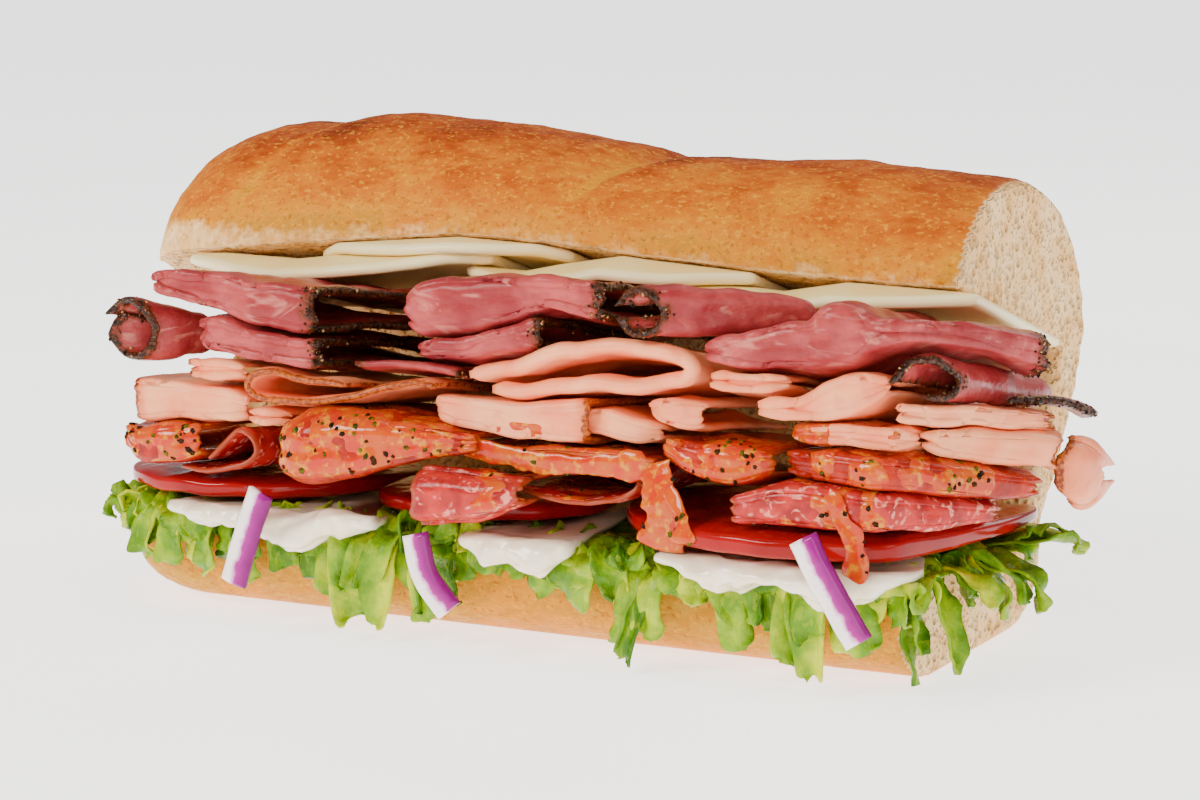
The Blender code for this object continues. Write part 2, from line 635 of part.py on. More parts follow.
# Slices curled about an axis that runs back: name, sort, thickness, front, the front edge and its steps
STRAIGHT = ((0, 0, 0, 1, 1), (15, 0, 0, 0.98, 0.98), (30, 0, 0, 0.95, 0.95), (45, 0, 0, 0.92, 0.92))
CURLS = (
    ("beef_2", "beef", BEEF, -38.5, arc_path(-61.5, 48.2, 5.2, 5.6, 150, -203), ((0, 0, 0, 1, 1),
     (4, 3.5, 0.1, 0.85, 0.85), (8, 6, 0.3, 0.65, 0.65), (12, 7.5, 0.5, 0.5, 0.5))),
    ("beef_6", "beef", BEEF, -39, arc_path(33.9, 57.2, 3.9, 3.5, 165, -165), ((0, 0, 0, 1, 1),
     (6, 8, 1.4, 0.95, 0.95), (11, 15, 2.4, 0.8, 0.8), (16, 21, 3.4, 0.55, 0.55))),
    ("beef_8", "beef", BEEF, -40, ((76.4, 49.4), (78.2, 52.2), (81.4, 53.4), (84.4, 52.3),
     (86.2, 50.2), (85, 48.3), (82, 47.9)), ((0, 0, 0, 1, 1), (12, 1, 0, 0.95, 0.95),
     (24, 2, 0, 0.9, 0.9), (36, 3, 0, 0.85, 0.85))),
    ("beef_9", "beef", BEEF, -30, ((91, 48.2), (95, 48.5), (100, 48.3), (105.5, 46.6)),
     ((0, 0, 0, 1, 1), (5, -1, 0, 0.95, 1), (10, -2.5, 0, 0.85, 1), (14, -4, 0, 0.7, 1))),
    ("beef_10", "beef", BEEF, -38, ((-17.4, 46.0), (-9, 46.3), (-3, 46.0), (1.8, 45.6)), STRAIGHT),
    ("ham_3", "ham", HAM, -39, ((-19.3, 42.4), (-27.9, 42.8), (-34.1, 43.4), (-37.5, 42.2),
     (-37.2, 39.6), (-29.9, 38.8), (-20.3, 40.0), (-11.8, 42.2), (-6.2, 43.6), (-1.9, 43.4)),
     STRAIGHT),
    ("ham_5", "ham", FOLDED_HAM, -38, ((8, 43.6), (14, 44.1), (24.5, 45.9), (32, 46.1), (38.6, 47.0),
     (42.0, 49.3), (38.8, 51.2), (31, 51.8), (25.4, 51.3), (19, 49.9), (13, 48.0), (8, 46.7),
     (4.2, 45.6)), STRAIGHT),
    ("pepperoni_3", "pepperoni", SALAMI, -38, ((7.6, 33.6), (16, 34.1), (26, 34.5), (36.6, 34.2)),
     STRAIGHT),
    ("salami_1", "salami", SALAMI, -38, ((-46, 28.0), (-42.2, 31.8), (-39.6, 33.0), (-37.5, 32),
     (-37.5, 29.6), (-39.9, 27.3), (-44.9, 26.3), (-52, 25.9)), STRAIGHT),
    ("salami_3", "salami", SALAMI, -36.5, ((8.6, 29.2), (14.7, 30.2), (22.4, 31.6), (29.4, 32.7),
     (32.3, 31.9), (32.7, 30.1), (30.6, 28.2), (27.1, 27.0), (23.6, 26.7), (18.3, 26.5), (11.1, 27.4)),
     STRAIGHT),
)


def build():
    """Every piece of the sandwich, in one collection."""
    for each in list(bpy.data.objects):
        bpy.data.objects.remove(each)
    sandwich = bpy.data.collections.new("italian_sandwich")
    bpy.context.scene.collection.children.link(sandwich)

    roll_of_bread(sandwich)
    lettuce_heap("lettuce", sandwich)
    for name, front, knots in BEADS:
        mayonnaise(name, front, knots, sandwich)
    for name, x, y, radius, low, high in TOMATOES:
        tomato_slice(name, x, y, radius, low, high, sandwich)
    for name, points in ONIONS:
        onion_strip(name, points, sandwich)
    for name, sort, thick, legs, rows in FOLDS:
        along = 3 if len(rows) < 5 else 5
        slice_of(name, sort, folded(rows, thick, legs), thick, sandwich, along=along)
    for name, sort, thick, front, path, steps in CURLS:
        slice_of(name, sort, looped(path, front, steps), thick, sandwich, across=len(path) + 3, along=3)
    for name, left, right, front, lanes in CHEESES:
        cheese_slice(name, left, right, front, lanes, sandwich)


build()
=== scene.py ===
"""The looks of an Italian sandwich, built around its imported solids.

The bread, every slice, the salad and the mayonnaise are modelled again at a fine grain in the places that
their solids hold, from the same named sizes as the solids. The dressing with its herbs, the pepper on the
beef and the single shreds of lettuce are made here alone.

Lengths are in millimetres and MM turns them to metres. +X runs along the roll to its cut end, -Y is the
open front and +Z is up.
"""
import math
import random

import bpy
import numpy as np
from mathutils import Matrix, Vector, noise


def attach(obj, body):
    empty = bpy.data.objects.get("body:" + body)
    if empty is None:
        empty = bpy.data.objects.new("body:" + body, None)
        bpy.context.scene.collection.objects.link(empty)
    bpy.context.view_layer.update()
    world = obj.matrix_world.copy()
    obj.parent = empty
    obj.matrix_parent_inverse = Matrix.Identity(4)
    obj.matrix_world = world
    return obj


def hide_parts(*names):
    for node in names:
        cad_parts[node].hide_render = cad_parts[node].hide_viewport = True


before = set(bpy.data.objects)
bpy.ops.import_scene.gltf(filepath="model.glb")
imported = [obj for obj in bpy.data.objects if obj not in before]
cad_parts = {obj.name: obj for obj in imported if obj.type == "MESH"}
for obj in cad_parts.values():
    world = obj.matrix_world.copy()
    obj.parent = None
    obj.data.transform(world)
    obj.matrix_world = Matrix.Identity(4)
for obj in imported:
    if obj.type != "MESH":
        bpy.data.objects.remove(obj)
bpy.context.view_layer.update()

# A millimetre in metres, and the gap that the layers keep
MM = 0.001
CLEAR = 0.35

# The roll
CUT_END = 75.0
ROUND_START = -58.0
ROUND_END = -81.5
END_LEAN = 5.0
LEAN_START = -40.0
LEAN_HEIGHTS = ((14.0, -0.8), (56.0, 1.3))
BOTTOM_WIDTH = 64.0
BOTTOM_MIDDLE = 1.0
BOTTOM_HEIGHT = 16.4
TOP_WIDTH = 63.5
TOP_EDGE = (-9.0, 60.0)
TOP_TILT = math.radians(-16.7)
ARCH = ((-80, -2.2), (-62, -0.8), (-40, 2.0), (-15, 4.3), (5, 3.6), (20, 2.3), (45, 0.8), (76, 0.0))
CROWN = (
    (-80, 27.0), (-60, 29.4), (-39, 28.8), (-15, 25.0), (0, 23.4),
    (20, 22.6), (32, 23.4), (48, 24.6), (76, 23.0),
)
SPINE_WALL = 11.0

# The score lines across the top crust: where each crosses the roll's ridge, and its depth
SCORES = ((-46.5, 0.8), (20.0, 2.0))
SCORE_WIDTH = 4.5
SCORE_SLANT = 0.5
RIDGE = 25.0

# The filling's height behind its front edge, as a share of its height at the front
PRESS = ((-38.0, 1.0), (-18.0, 0.88), (-9.0, 0.84), (36.0, 0.55))

# All the layers share one soft ripple, so they stay clear of each other: its height and its size
RIPPLE = 0.16
RIPPLE_SIZE = (1.6, 4.3)

# Past SWING_START the layers swing back by SWING for each unit along, and in and down by shares of that
SWING_START = 76.0
SWING = 1.1
SWING_SHARES = (0.36, 0.165)
SWING_BASE = 21.0
SWING_BLEND = 10.0

# How thick each sort of slice is
CHEESE = 1.8
SALAMI = 1.15
THIN_HAM = 1.1
HAM = 1.4
FOLDED_HAM = 2.6
BEEF = 1.5
LEAF = 0.8
ONION = (4.6, 1.8)

# The slices of cheese lie this far back, bow this much at their corners, and hang over the bread's edge
CHEESE_BACK = 30.0
CHEESE_BOW = 9.0
CHEESE_HANG = 0.014

# The mayonnaise: the thin smear's height, how far forward it lies and how far back it is smeared
MAYO_TAIL = (19.15, 20.25)
MAYO_REACH = -37.3
MAYO_SMEAR = 40.0

# The lettuce's core, along, across and in height
LETTUCE_ENDS = (-73.0, 78.5)
LETTUCE_MIDDLE = -3.5
LETTUCE_HALF = 26.0
LETTUCE_FACE = (16.75, 18.75)

# How square the outlines of the roll's two halves are, the larger the squarer, and how far the hinge bulges
BOTTOM_SQUARE = 3.4
TOP_SQUARE = 2.1
SPINE_BULGE = 1.5

# The roll's sections: how far in from the rounded end the first ones lie, how many follow along the roll,
# and how many points a quarter of an outline has
ROUNDING = (0.05, 0.4, 1.0, 1.8, 2.8, 4.2, 6.0, 8.0, 10.5, 13.0, 16.0, 19.0)
SECTIONS = 100
AROUND = 22

# How finely the bread is meshed, and where the hinge's thin left end is: its x, y and z
BREAD_GRAIN = 0.95
THIN_END = (-50.0, 2.0, (10.0, 62.0))

# The crust's lumps and wrinkles and the torn crumb: the size of each and its depth
CRUST_LUMPS = (13.0, 0.42)
CRUST_WRINKLES = (2.6, 0.13)
TORN_CRUMB = (3.0, 0.30)

# The browning, from 0 to 1: at the top half's edge, and what it gains by its shoulder and by its ridge; of
# the bottom half; and what a score line and the rounded end are paler by
BAKE_EDGE = 0.26
BAKE_SHOULDER = 0.30
BAKE_RIDGE = 0.26
BAKE_BOTTOM = 0.15
SCORE_PALER = 0.26
END_PALER = 0.20

# How deep the crust sinks along a score line
SCORE_SUNK = 0.30

# How wide the pale band over the top half's cut edge is along the roll, and how pale it is
BAND = ((-80.0, 6.0), (-66.0, 4.2), (-48.0, 2.0), (-10.0, 1.0), (76.0, 0.6))
BAND_PALE = ((-70.0, 0.64), (-35.0, 0.44))

# How far the legs of a folded slice swell behind its fold, and how far the upper legs of some beef folds do
SWELL = 0.45
SWELL_UP = {"beef_1": 2.6, "beef_3": 2.0, "beef_4": 1.6, "beef_7": 1.6}

# How far the lower leg of a folded slice rises behind its mouth, as a share of the fold's height
CLOSE = {"beef_1": 0.92, "beef_3": 0.8, "beef_4": 0.5, "pepperoni_2": 0.5}

# Which ends of a slice show its rind, where that isn't both: the others are tucked away
RINDS = {
    "beef_1": "R", "beef_3": "R", "beef_4": "R", "beef_5": "R", "beef_7": "R", "beef_10": "",
    "ham_1": "L", "ham_2": "L", "ham_4": "", "ham_5": "", "ham_6": "R", "ham_7": "", "ham_8": "",
    "ham_9": "", "ham_10": "", "ham_11": "R", "ham_12": "", "ham_13": "R", "ham_14": "L",
}

# Over how much of its length a tucked end narrows, and a distance at which no browned rim shows
TUCK = 4.0
NO_RIM = 60.0

# How far the legs of a curled slice wander from front to back
CURL_WAVE = 0.8

# A slice's creases, as the size of each, its depth and its own seed, and how strongly each sort has them
CREASES = ((15.0, 0.45, 3), (6.5, 0.38, 0), (2.4, 0.11, 7))
WRINKLE = {"beef": 1.15, "ham": 0.85, "pepperoni": 0.8, "salami": 0.9}
THICK = {"ham": HAM, "pepperoni": SALAMI, "salami": SALAMI, "beef": BEEF}

# How square the rim of a tomato slice is: the smaller, the squarer
TOMATO_RIM = 0.42

# How many steps a shred of lettuce and a run of dressing have, along and across
SHRED_STEPS = (30, 8)
RUN_STEPS = (44, 20)

# How many short shreds lie on the bread's front edge and round its left end
FRINGE = (64, 12)

# The dressing's depth, and how many wet points there are for each chip of herb
FILM = 0.55
POINTS_PER_CHIP = 14

# The share of the points near a rim of beef that carry pepper
PEPPERED = 0.42

# The slices with dressing on them: how much of each it covers, and between which x and z
DRESSED = (
    ("pepperoni_1", 0.55, ((-66.0, -46.0), (26.0, 36.0))),
    ("pepperoni_2", 0.45, ((-32.0, 8.0), (24.0, 40.0))),
    ("pepperoni_3", 0.80, ((-4.0, 30.0), (28.0, 38.0))),
    ("pepperoni_4", 0.40, ((36.0, 52.0), (28.0, 40.0))),
    ("pepperoni_5", 0.25, ((66.0, 100.0), (30.0, 40.0))),
    ("ham_6", 0.02, ((4.0, 18.0), (33.0, 37.0))),
    ("ham_12", 0.05, ((58.0, 80.0), (36.0, 40.0))),
    ("salami_2", 0.0, ((8.0, 17.0), (24.0, 32.0))),
    ("salami_3", 0.1, ((8.0, 22.0), (26.0, 34.0))),
    ("salami_4", 0.0, ((62.0, 74.0), (24.0, 36.0))),
)

# Runs of dressing along and down the front: the points they pass through, their width and their depth
RUNS = (
    (((-1.0, -36.8, 34.8), (8.0, -37.9, 33.2), (18.0, -38.2, 32.6), (28.0, -38.3, 33.0), (36.0, -38.0, 33.4)),
     4.2, 1.2),
    (((36.0, -38.3, 34.0), (38.0, -39.4, 30.4), (39.2, -40.0, 26.0), (38.4, -40.0, 20.8)), 7.2, 0.9),
    (((38.8, -39.2, 31.0), (41.6, -40.8, 28.4), (43.2, -41.8, 25.6), (43.4, -42.1, 22.6)), 3.6, 0.8),
    (((67.5, -41.6, 33.4), (69.5, -42.2, 29.0), (71.4, -40.6, 24.6), (71.0, -40.8, 18.6)), 3.6, 0.8),
)

# Colours, as sRGB. They are stronger than the real ones, because the picture pales strong colours
CRUST_STOPS = (
    (0.0, "#C48C20"), (0.16, "#BC7C08"), (0.30, "#D28600"), (0.44, "#CC7600"), (0.60, "#C26200"),
    (0.80, "#A64200"), (1.0, "#782A00"),
)
BLISTER = "#E6A018"
PINPRICK = "#8E4400"
# The crumb's two tones, and the painted shade at the bottoms of its pores
CRUMB = ("#FAD29A", "#EEBA78", "#C48E4C")
LEAF_STOPS = ((0.0, "#BCC610"), (0.3, "#88A800"), (0.6, "#608C00"), (1.0, "#346000"))
ONION_STOPS = (
    (0.0, "#70005C"), (0.28, "#8A0074"), (0.44, "#A40C88"), (0.52, "#E8A0D4"), (0.60, "#FFF0F2"),
    (1.0, "#FFF6F0"),
)

# The camera: where it aims and its distance in millimetres, its two angles and its lens
CAMERA_AIM = (7.5, 0.0, 36.4)
CAMERA_DISTANCE = 540.0
CAMERA_ANGLES = (27.3, 9.0)
CAMERA_LENS = 96.0

# The floor's size and height in metres, and how much it glows by itself
FLOOR_SIZE = 12.0
FLOOR_HEIGHT = -0.0002
FLOOR_GLOW = 1.9

# The lights, in metres: place, width and height, and power. All aim at one point and have one tint
LIGHTS = (
    ("key_light", (-0.50, -0.80, 0.62), (0.42, 0.36), 11.0),
    ("front_light", (0.42, -0.95, 0.20), (0.70, 0.36), 3.6),
    ("end_light", (0.95, -0.20, 0.36), (0.50, 0.50), 2.2),
    ("top_light", (0.05, 0.10, 1.00), (0.60, 0.60), 2.6),
    ("back_light", (0.35, 0.80, 0.60), (0.60, 0.40), 3.0),
)
LIGHT_AIM = (0.0, 0.0, 0.04)
LIGHT_TINT = (1.0, 0.95, 0.86)
SKY = 0.42


def deselect():
    """Nothing stays selected, so that an operator acts on the new piece alone."""
    bpy.ops.object.select_all(action="DESELECT")


def between(x, knots):
    """Straight-line interpolation in a table of (place, value) knots."""
    return np.interp(x, [k[0] for k in knots], [k[1] for k in knots])


def ease(x, low, high):
    """0 below low, 1 above high and a smooth rise between them."""
    t = np.clip((np.asarray(x, float) - low) / (high - low), 0.0, 1.0)
    return t * t * (3 - 2 * t)


def rough(points, size, seed=0.0, octaves=2):
    """Soft noise from about -1 to 1 at each point, with lumps of that size in millimetres."""
    flat = np.asarray(points, float).reshape(-1, 3) / size
    values = [
        noise.fractal(Vector(p) + Vector((seed, 0.37 * seed, -seed)), 1.0, 2.0, octaves) for p in flat
    ]
    return np.array(values).reshape(np.shape(points)[:-1])


def through(points, t):
    """A smooth curve through rows of control points, at shares t of the way along it."""
    points = np.asarray(points, float)
    t = np.atleast_1d(np.asarray(t, float))
    spans = len(points) - 1
    place = np.clip(t, 0.0, 1.0) * spans
    i = np.minimum(place.astype(int), spans - 1)
    f = (place - i).reshape(-1, *[1] * (points.ndim - 1))
    ends = [2 * points[:1] - points[1:2], points, 2 * points[-1:] - points[-2:-1]]
    longer = np.concatenate(ends)
    a, b, c, d = (longer[i + k] for k in range(4))
    return 0.5 * (2 * b + (c - a) * f + (2 * a - 5 * b + 4 * c - d) * f**2 + (3 * b - a - 3 * c + d) * f**3)


def press(p):
    """Where points of the flat layout lie once the roll is closed on the filling."""
    p = np.array(p, float)
    share = between(p[..., 1], PRESS)
    ripple = RIPPLE * np.sin(p[..., 0] / RIPPLE_SIZE[0]) * np.sin(p[..., 1] / RIPPLE_SIZE[1])
    closed = BOTTOM_HEIGHT + (p[..., 2] - BOTTOM_HEIGHT) * share + ripple
    p[..., 2] = np.where(p[..., 2] > BOTTOM_HEIGHT, closed, p[..., 2])
    return p


def swing(p):
    """Where points of the closed layout lie once the layers past the cut end lean back."""
    p = np.array(p, float)
    past = SWING * np.maximum(0.0, p[..., 0] - SWING_START)
    lowered = np.clip((p[..., 2] - SWING_BASE) / SWING_BLEND, 0.0, 1.0)
    p[..., 0] -= SWING_SHARES[0] * past
    p[..., 1] += past
    p[..., 2] -= SWING_SHARES[1] * past * lowered
    return p


def normals_of(grid):
    """The surface normal at each point of a grid of points."""
    along, across = np.gradient(grid, axis=0), np.gradient(grid, axis=1)
    cross = np.cross(across, along)
    return cross / np.maximum(np.linalg.norm(cross, axis=-1, keepdims=True), 1e-9)


def apply(piece, kind, **settings):
    """One modifier, set and applied."""
    bpy.context.view_layer.objects.active = piece
    modifier = piece.modifiers.new(kind.lower(), kind)
    for key, value in settings.items():
        setattr(modifier, key, value)
    bpy.ops.object.modifier_apply(modifier=modifier.name)


def coordinates(piece):
    """The piece's points in millimetres."""
    flat = np.empty(len(piece.data.vertices) * 3)
    piece.data.vertices.foreach_get("co", flat)
    return flat.reshape(-1, 3) / MM


def place(piece, points):
    """Sets the piece's points, given in millimetres."""
    piece.data.vertices.foreach_set("co", (np.asarray(points) * MM).ravel())
    piece.data.update()


def note(piece, name, values):
    """A number at each of the piece's points, for its material to read."""
    attribute = piece.data.attributes.new(name, "FLOAT", "POINT")
    attribute.data.foreach_set("value", np.asarray(values, np.float32).ravel())


def vertex_normals(piece):
    """The normal at each of the piece's points."""
    flat = np.empty(len(piece.data.vertices) * 3)
    piece.data.vertices.foreach_get("normal", flat)
    return flat.reshape(-1, 3)


def hand_over(piece, finish, slot, *nodes):
    """Gives a finished piece its material and its body, and hides the solids that it stands for; its slot is
    not used.
    """
    piece.data.materials.clear()
    piece.data.materials.append(finish)
    piece.data.shade_smooth()
    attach(piece, "root")
    if nodes:
        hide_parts(*nodes)
    return piece


def grid_piece(name, points):
    """A grid whose points are placed where the given rows of points are."""
    along, across = points.shape[0] - 1, points.shape[1] - 1
    deselect()
    bpy.ops.mesh.primitive_grid_add(x_subdivisions=across, y_subdivisions=along, size=2)
    piece = bpy.context.object
    piece.name = name
    flat = coordinates(piece) * MM
    column = np.rint((flat[:, 0] + 1) / 2 * across).astype(int)
    row = np.rint((flat[:, 1] + 1) / 2 * along).astype(int)
    place(piece, points[row, column])
    return piece, row, column


def joined(name, meshes):
    """One piece from (points, faces) lists, in millimetres."""
    points, faces, start = [], [], 0
    for each_points, each_faces in meshes:
        points.append(np.asarray(each_points, float).reshape(-1, 3))
        faces.extend([tuple(start + i for i in face) for face in each_faces])
        start += len(points[-1])
    mesh = bpy.data.meshes.new(name)
    mesh.from_pydata((np.concatenate(points) * MM).tolist(), [], faces)
    mesh.update()
    piece = bpy.data.objects.new(name, mesh)
    bpy.context.scene.collection.objects.link(piece)
    return piece


def grid_faces(rows, columns, closed=False):
    """The faces of a grid of points with that many rows and columns."""
    faces = []
    last = columns if closed else columns - 1
    for r in range(rows - 1):
        for c in range(last):
            n = (c + 1) % columns
            faces.append((r * columns + c, r * columns + n, (r + 1) * columns + n, (r + 1) * columns + c))
    return faces


def tube(rings):
    """The points and faces of a tube through rings of points, closed at both ends."""
    rings = np.asarray(rings, float)
    total, around = rings.shape[:2]
    faces = grid_faces(total, around, closed=True)
    faces.append(tuple(reversed(range(around))))
    faces.append(tuple(range((total - 1) * around, total * around)))
    return rings.reshape(-1, 3), faces


def framed(points, t):
    """A strip's path through its points, with its sideways and its outward direction at each step."""
    path = through(points, t)
    ahead = np.gradient(path, axis=0)
    ahead /= np.linalg.norm(ahead, axis=1, keepdims=True)
    side = np.cross(ahead, (0, -1, 0))
    side /= np.linalg.norm(side, axis=1, keepdims=True)
    return path, side, np.cross(ahead, side)


def thicken(piece, thickness, weights):
    """Gives an open surface its thickness, thinner where the weights are under 1."""
    group = piece.vertex_groups.new(name="thickness")
    steps = np.round(np.asarray(weights, float), 2)
    for step in np.unique(steps):
        group.add([int(i) for i in np.flatnonzero(steps == step)], float(step), "REPLACE")
    apply(piece, "SOLIDIFY", thickness=thickness * MM, offset=0.0, vertex_group="thickness",
          use_quality_normals=True)
    piece.vertex_groups.clear()


def linear(code):
    """A linear colour from an sRGB hex code."""
    parts = [int(code[i:i + 2], 16) / 255 for i in (1, 3, 5)]
    return (*(c / 12.92 if c <= 0.04045 else ((c + 0.055) / 1.055) ** 2.4 for c in parts), 1.0)


def add(tree, kind, links=None, stops=None, **settings):
    """Adds a node: its settings, its sockets' values or links, and a ramp's stops."""
    made = tree.nodes.new("ShaderNode" + kind)
    for key, value in settings.items():
        setattr(made, key, value)
    for key, value in (links or {}).items():
        if isinstance(value, str):
            value = linear(value)
        if isinstance(value, bpy.types.NodeSocket):
            tree.links.new(value, made.inputs[key])
        else:
            made.inputs[key].default_value = value
    if stops:
        elements = made.color_ramp.elements
        while len(elements) < len(stops):
            elements.new(0.5)
        for element, (spot, colour) in zip(elements, stops):
            element.position = spot
            element.color = linear(colour)
    return made


def start(name):
    """A new material with its tree, its Principled shader and the object's own coordinates."""
    made = bpy.data.materials.new(name)
    made.use_nodes = True
    tree = made.node_tree
    shader = tree.nodes["Principled BSDF"]
    where = add(tree, "TexCoord").outputs["Object"]
    return made, tree, shader, where


def level(tree, value, low, high, to_low=0.0, to_high=1.0):
    """A value's smooth rise from low to high, as a socket."""
    return add(tree, "MapRange", {0: value, 1: low, 2: high, 3: to_low, 4: to_high},
               interpolation_type="SMOOTHSTEP").outputs[0]


def sums(tree, kind, a, b):
    """Two values put together by a Math node, as a socket."""
    return add(tree, "Math", {0: a, 1: b}, operation=kind).outputs[0]


def blend(tree, share, a, b):
    """Two colours mixed, as a socket."""
    return add(tree, "Mix", {0: share, 6: a, 7: b}, data_type="RGBA").outputs[2]


def grain(tree, where, size, detail=3.0, stretch=(1, 1, 1), distortion=0.0):
    """Soft noise whose lumps are size millimetres across, as a socket."""
    turned = add(tree, "Mapping", {"Vector": where, "Scale": stretch}).outputs[0]
    made = add(tree, "TexNoise", {"Vector": turned, "Scale": 1 / (size * MM), "Detail": detail,
                                  "Distortion": distortion})
    return made.outputs[0]


def cells(tree, where, size):
    """The distance to the nearest of scattered points, size millimetres apart, as a socket."""
    return add(tree, "TexVoronoi", {"Vector": where, "Scale": 1 / (size * MM)}).outputs["Distance"]


def noted(tree, name):
    """A number that the piece carries at its points, as a socket."""
    return add(tree, "Attribute", attribute_name=name).outputs["Fac"]


def ragged(tree, where, name, size, detail, sway):
    """A number of the piece's points whose contours wander by sway, as a socket."""
    wander = level(tree, grain(tree, where, size, detail), 0.3, 0.7, -sway, sway)
    return sums(tree, "ADD", noted(tree, name), wander)


def paint(tree, shader, colour):
    """Gives the shader its colour."""
    tree.links.new(colour, shader.inputs["Base Color"])


def relief(tree, shader, *layers):
    """Bumps laid over each other: each layer is (height socket, depth in millimetres, strength)."""
    normal = None
    for height, depth, strength in layers:
        links = {"Height": height, "Distance": depth * MM, "Strength": strength}
        if normal is not None:
            links["Normal"] = normal
        normal = add(tree, "Bump", links).outputs[0]
    tree.links.new(normal, shader.inputs["Normal"])


def dress(shader, **values):
    """Values on the shader's own sockets."""
    names = {"rough": "Roughness", "ior": "IOR", "coat": "Coat Weight", "coat_rough": "Coat Roughness",
             "inside": "Subsurface Weight", "depth": "Subsurface Scale", "reach": "Subsurface Radius",
             "specular": "Specular IOR Level"}
    for key, value in values.items():
        shader.inputs[names[key]].default_value = value


def baked_bread():
    """Wheat bread: a baked crust, golden to brown where it faced the heat, and a pale porous crumb."""
    made, tree, shader, where = start("baked_bread")
    bake = noted(tree, "bake")
    crumb = noted(tree, "crumb")
    # Patches of a centimetre, then streaks of 2 mm, where the crust browned more or less
    patches = level(tree, grain(tree, where, 12, 4), 0.3, 0.7, -0.13, 0.13)
    streaks = level(tree, grain(tree, where, 1.8, 4, (0.5, 1, 1)), 0.3, 0.7, -0.09, 0.09)
    heat = sums(tree, "ADD", bake, sums(tree, "ADD", patches, streaks))
    crust = add(tree, "ValToRGB", {0: heat}, stops=CRUST_STOPS).outputs[0]
    # Fine pale blisters, under a millimetre across, which the oven left lighter than the crust round them
    blisters = level(tree, grain(tree, where, 0.75, 2, (0.7, 1, 1)), 0.57, 0.67, 0.0, 0.55)
    crust = blend(tree, blisters, crust, BLISTER)
    # Darker pinpricks between them
    pricks = level(tree, grain(tree, where, 0.9, 2, (1, 1.3, 1)), 0.32, 0.43, 0.5, 0.0)
    crust = blend(tree, pricks, crust, PINPRICK)
    # The crumb's pores: 1.9 mm and 0.9 mm bubbles, which give the bump and a painted shade that darkens them
    # towards their bottoms
    pores = sums(tree, "MULTIPLY", level(tree, cells(tree, where, 1.9), 0.12, 0.45),
                 level(tree, cells(tree, where, 0.9), 0.05, 0.45, 0.3, 1.0))
    soft = blend(tree, level(tree, grain(tree, where, 7, 3), 0.35, 0.65), CRUMB[0], CRUMB[1])
    # Painted shade: the crumb is darker towards the bottoms of its pores
    soft = blend(tree, level(tree, pores, 0.0, 0.5, 0.65, 0.0), soft, CRUMB[2])
    share = level(tree, ragged(tree, where, "crumb", 1.3, 3, 0.10), 0.22, 0.78)
    paint(tree, shader, blend(tree, share, crust, soft))
    dryness = sums(tree, "ADD", level(tree, share, 0, 1, 0.50, 0.9), streaks)
    tree.links.new(dryness, shader.inputs["Roughness"])
    open_pores = sums(tree, "MULTIPLY", pores, level(tree, crumb, 0.7, 0.95))
    pimples = sums(tree, "MULTIPLY", grain(tree, where, 1.0, 4), level(tree, share, 0, 1, 1.0, 0.5))
    relief(tree, shader, (open_pores, 1.2, 0.8), (pimples, 0.45, 0.6))
    dress(shader, ior=1.45, specular=0.12)
    return made


def sliced_cheese():
    """Pale provolone: smooth, a little waxy, and lit a little from within."""
    made, tree, shader, where = start("sliced_cheese")
    cloudy = level(tree, grain(tree, where, 14, 3), 0.3, 0.7)
    base = blend(tree, cloudy, "#FFE69C", "#FFDC88")
    rim = level(tree, noted(tree, "rim"), 0.0, 2.2, 0.5, 0.0)
    base = blend(tree, rim, base, "#FFF0CC")
    paint(tree, shader, base)
    relief(tree, shader, (grain(tree, where, 3.2, 3), 0.10, 0.4))
    dress(shader, rough=0.34, ior=1.45, inside=0.2, depth=1.4 * MM, reach=(1.0, 0.75, 0.45))
    return made


def roast_beef():
    """Peppered beef: a moist rose slice with pale marbling and fibres, and a dark roasted, peppered rim."""
    made, tree, shader, where = start("roast_beef")
    lean = blend(tree, level(tree, grain(tree, where, 8, 3), 0.3, 0.7), "#8C2428", "#B84A48")
    veins = level(tree, grain(tree, where, 4.6, 5, (0.5, 0.7, 1.4), 1.4), 0.58, 0.70, 0.0, 0.5)
    lean = blend(tree, veins, lean, "#D88878")
    # Muscle fibres, half a millimetre apart, drawn as short streaks
    fibres = grain(tree, where, 0.9, 3, (0.35, 1, 1))
    lean = blend(tree, level(tree, fibres, 0.3, 0.7, 0.0, 0.35), lean, "#7E2028")
    rim = ragged(tree, where, "rim", 1.8, 4, 0.6)
    roasted = blend(tree, level(tree, grain(tree, where, 0.7, 3), 0.4, 0.62), "#1E0D05", "#4A220A")
    roasted = blend(tree, level(tree, cells(tree, where, 0.8), 0.10, 0.22, 0.6, 0.0), roasted, "#8E6232")
    brown = blend(tree, level(tree, rim, 0.9, 2.2), "#6E2A16", lean)
    paint(tree, shader, blend(tree, level(tree, rim, 0.5, 1.0), roasted, brown))
    crusted = sums(tree, "MULTIPLY", cells(tree, where, 0.9), level(tree, rim, 0.6, 1.2, 1.0, 0.0))
    relief(tree, shader, (fibres, 0.25, 0.5), (grain(tree, where, 3.5, 3), 0.5, 0.5), (crusted, 0.5, 0.8))
    dress(shader, rough=0.32, ior=1.42, specular=0.3, inside=0.10, depth=1.2 * MM, reach=(1.0, 0.35, 0.25))
    return made


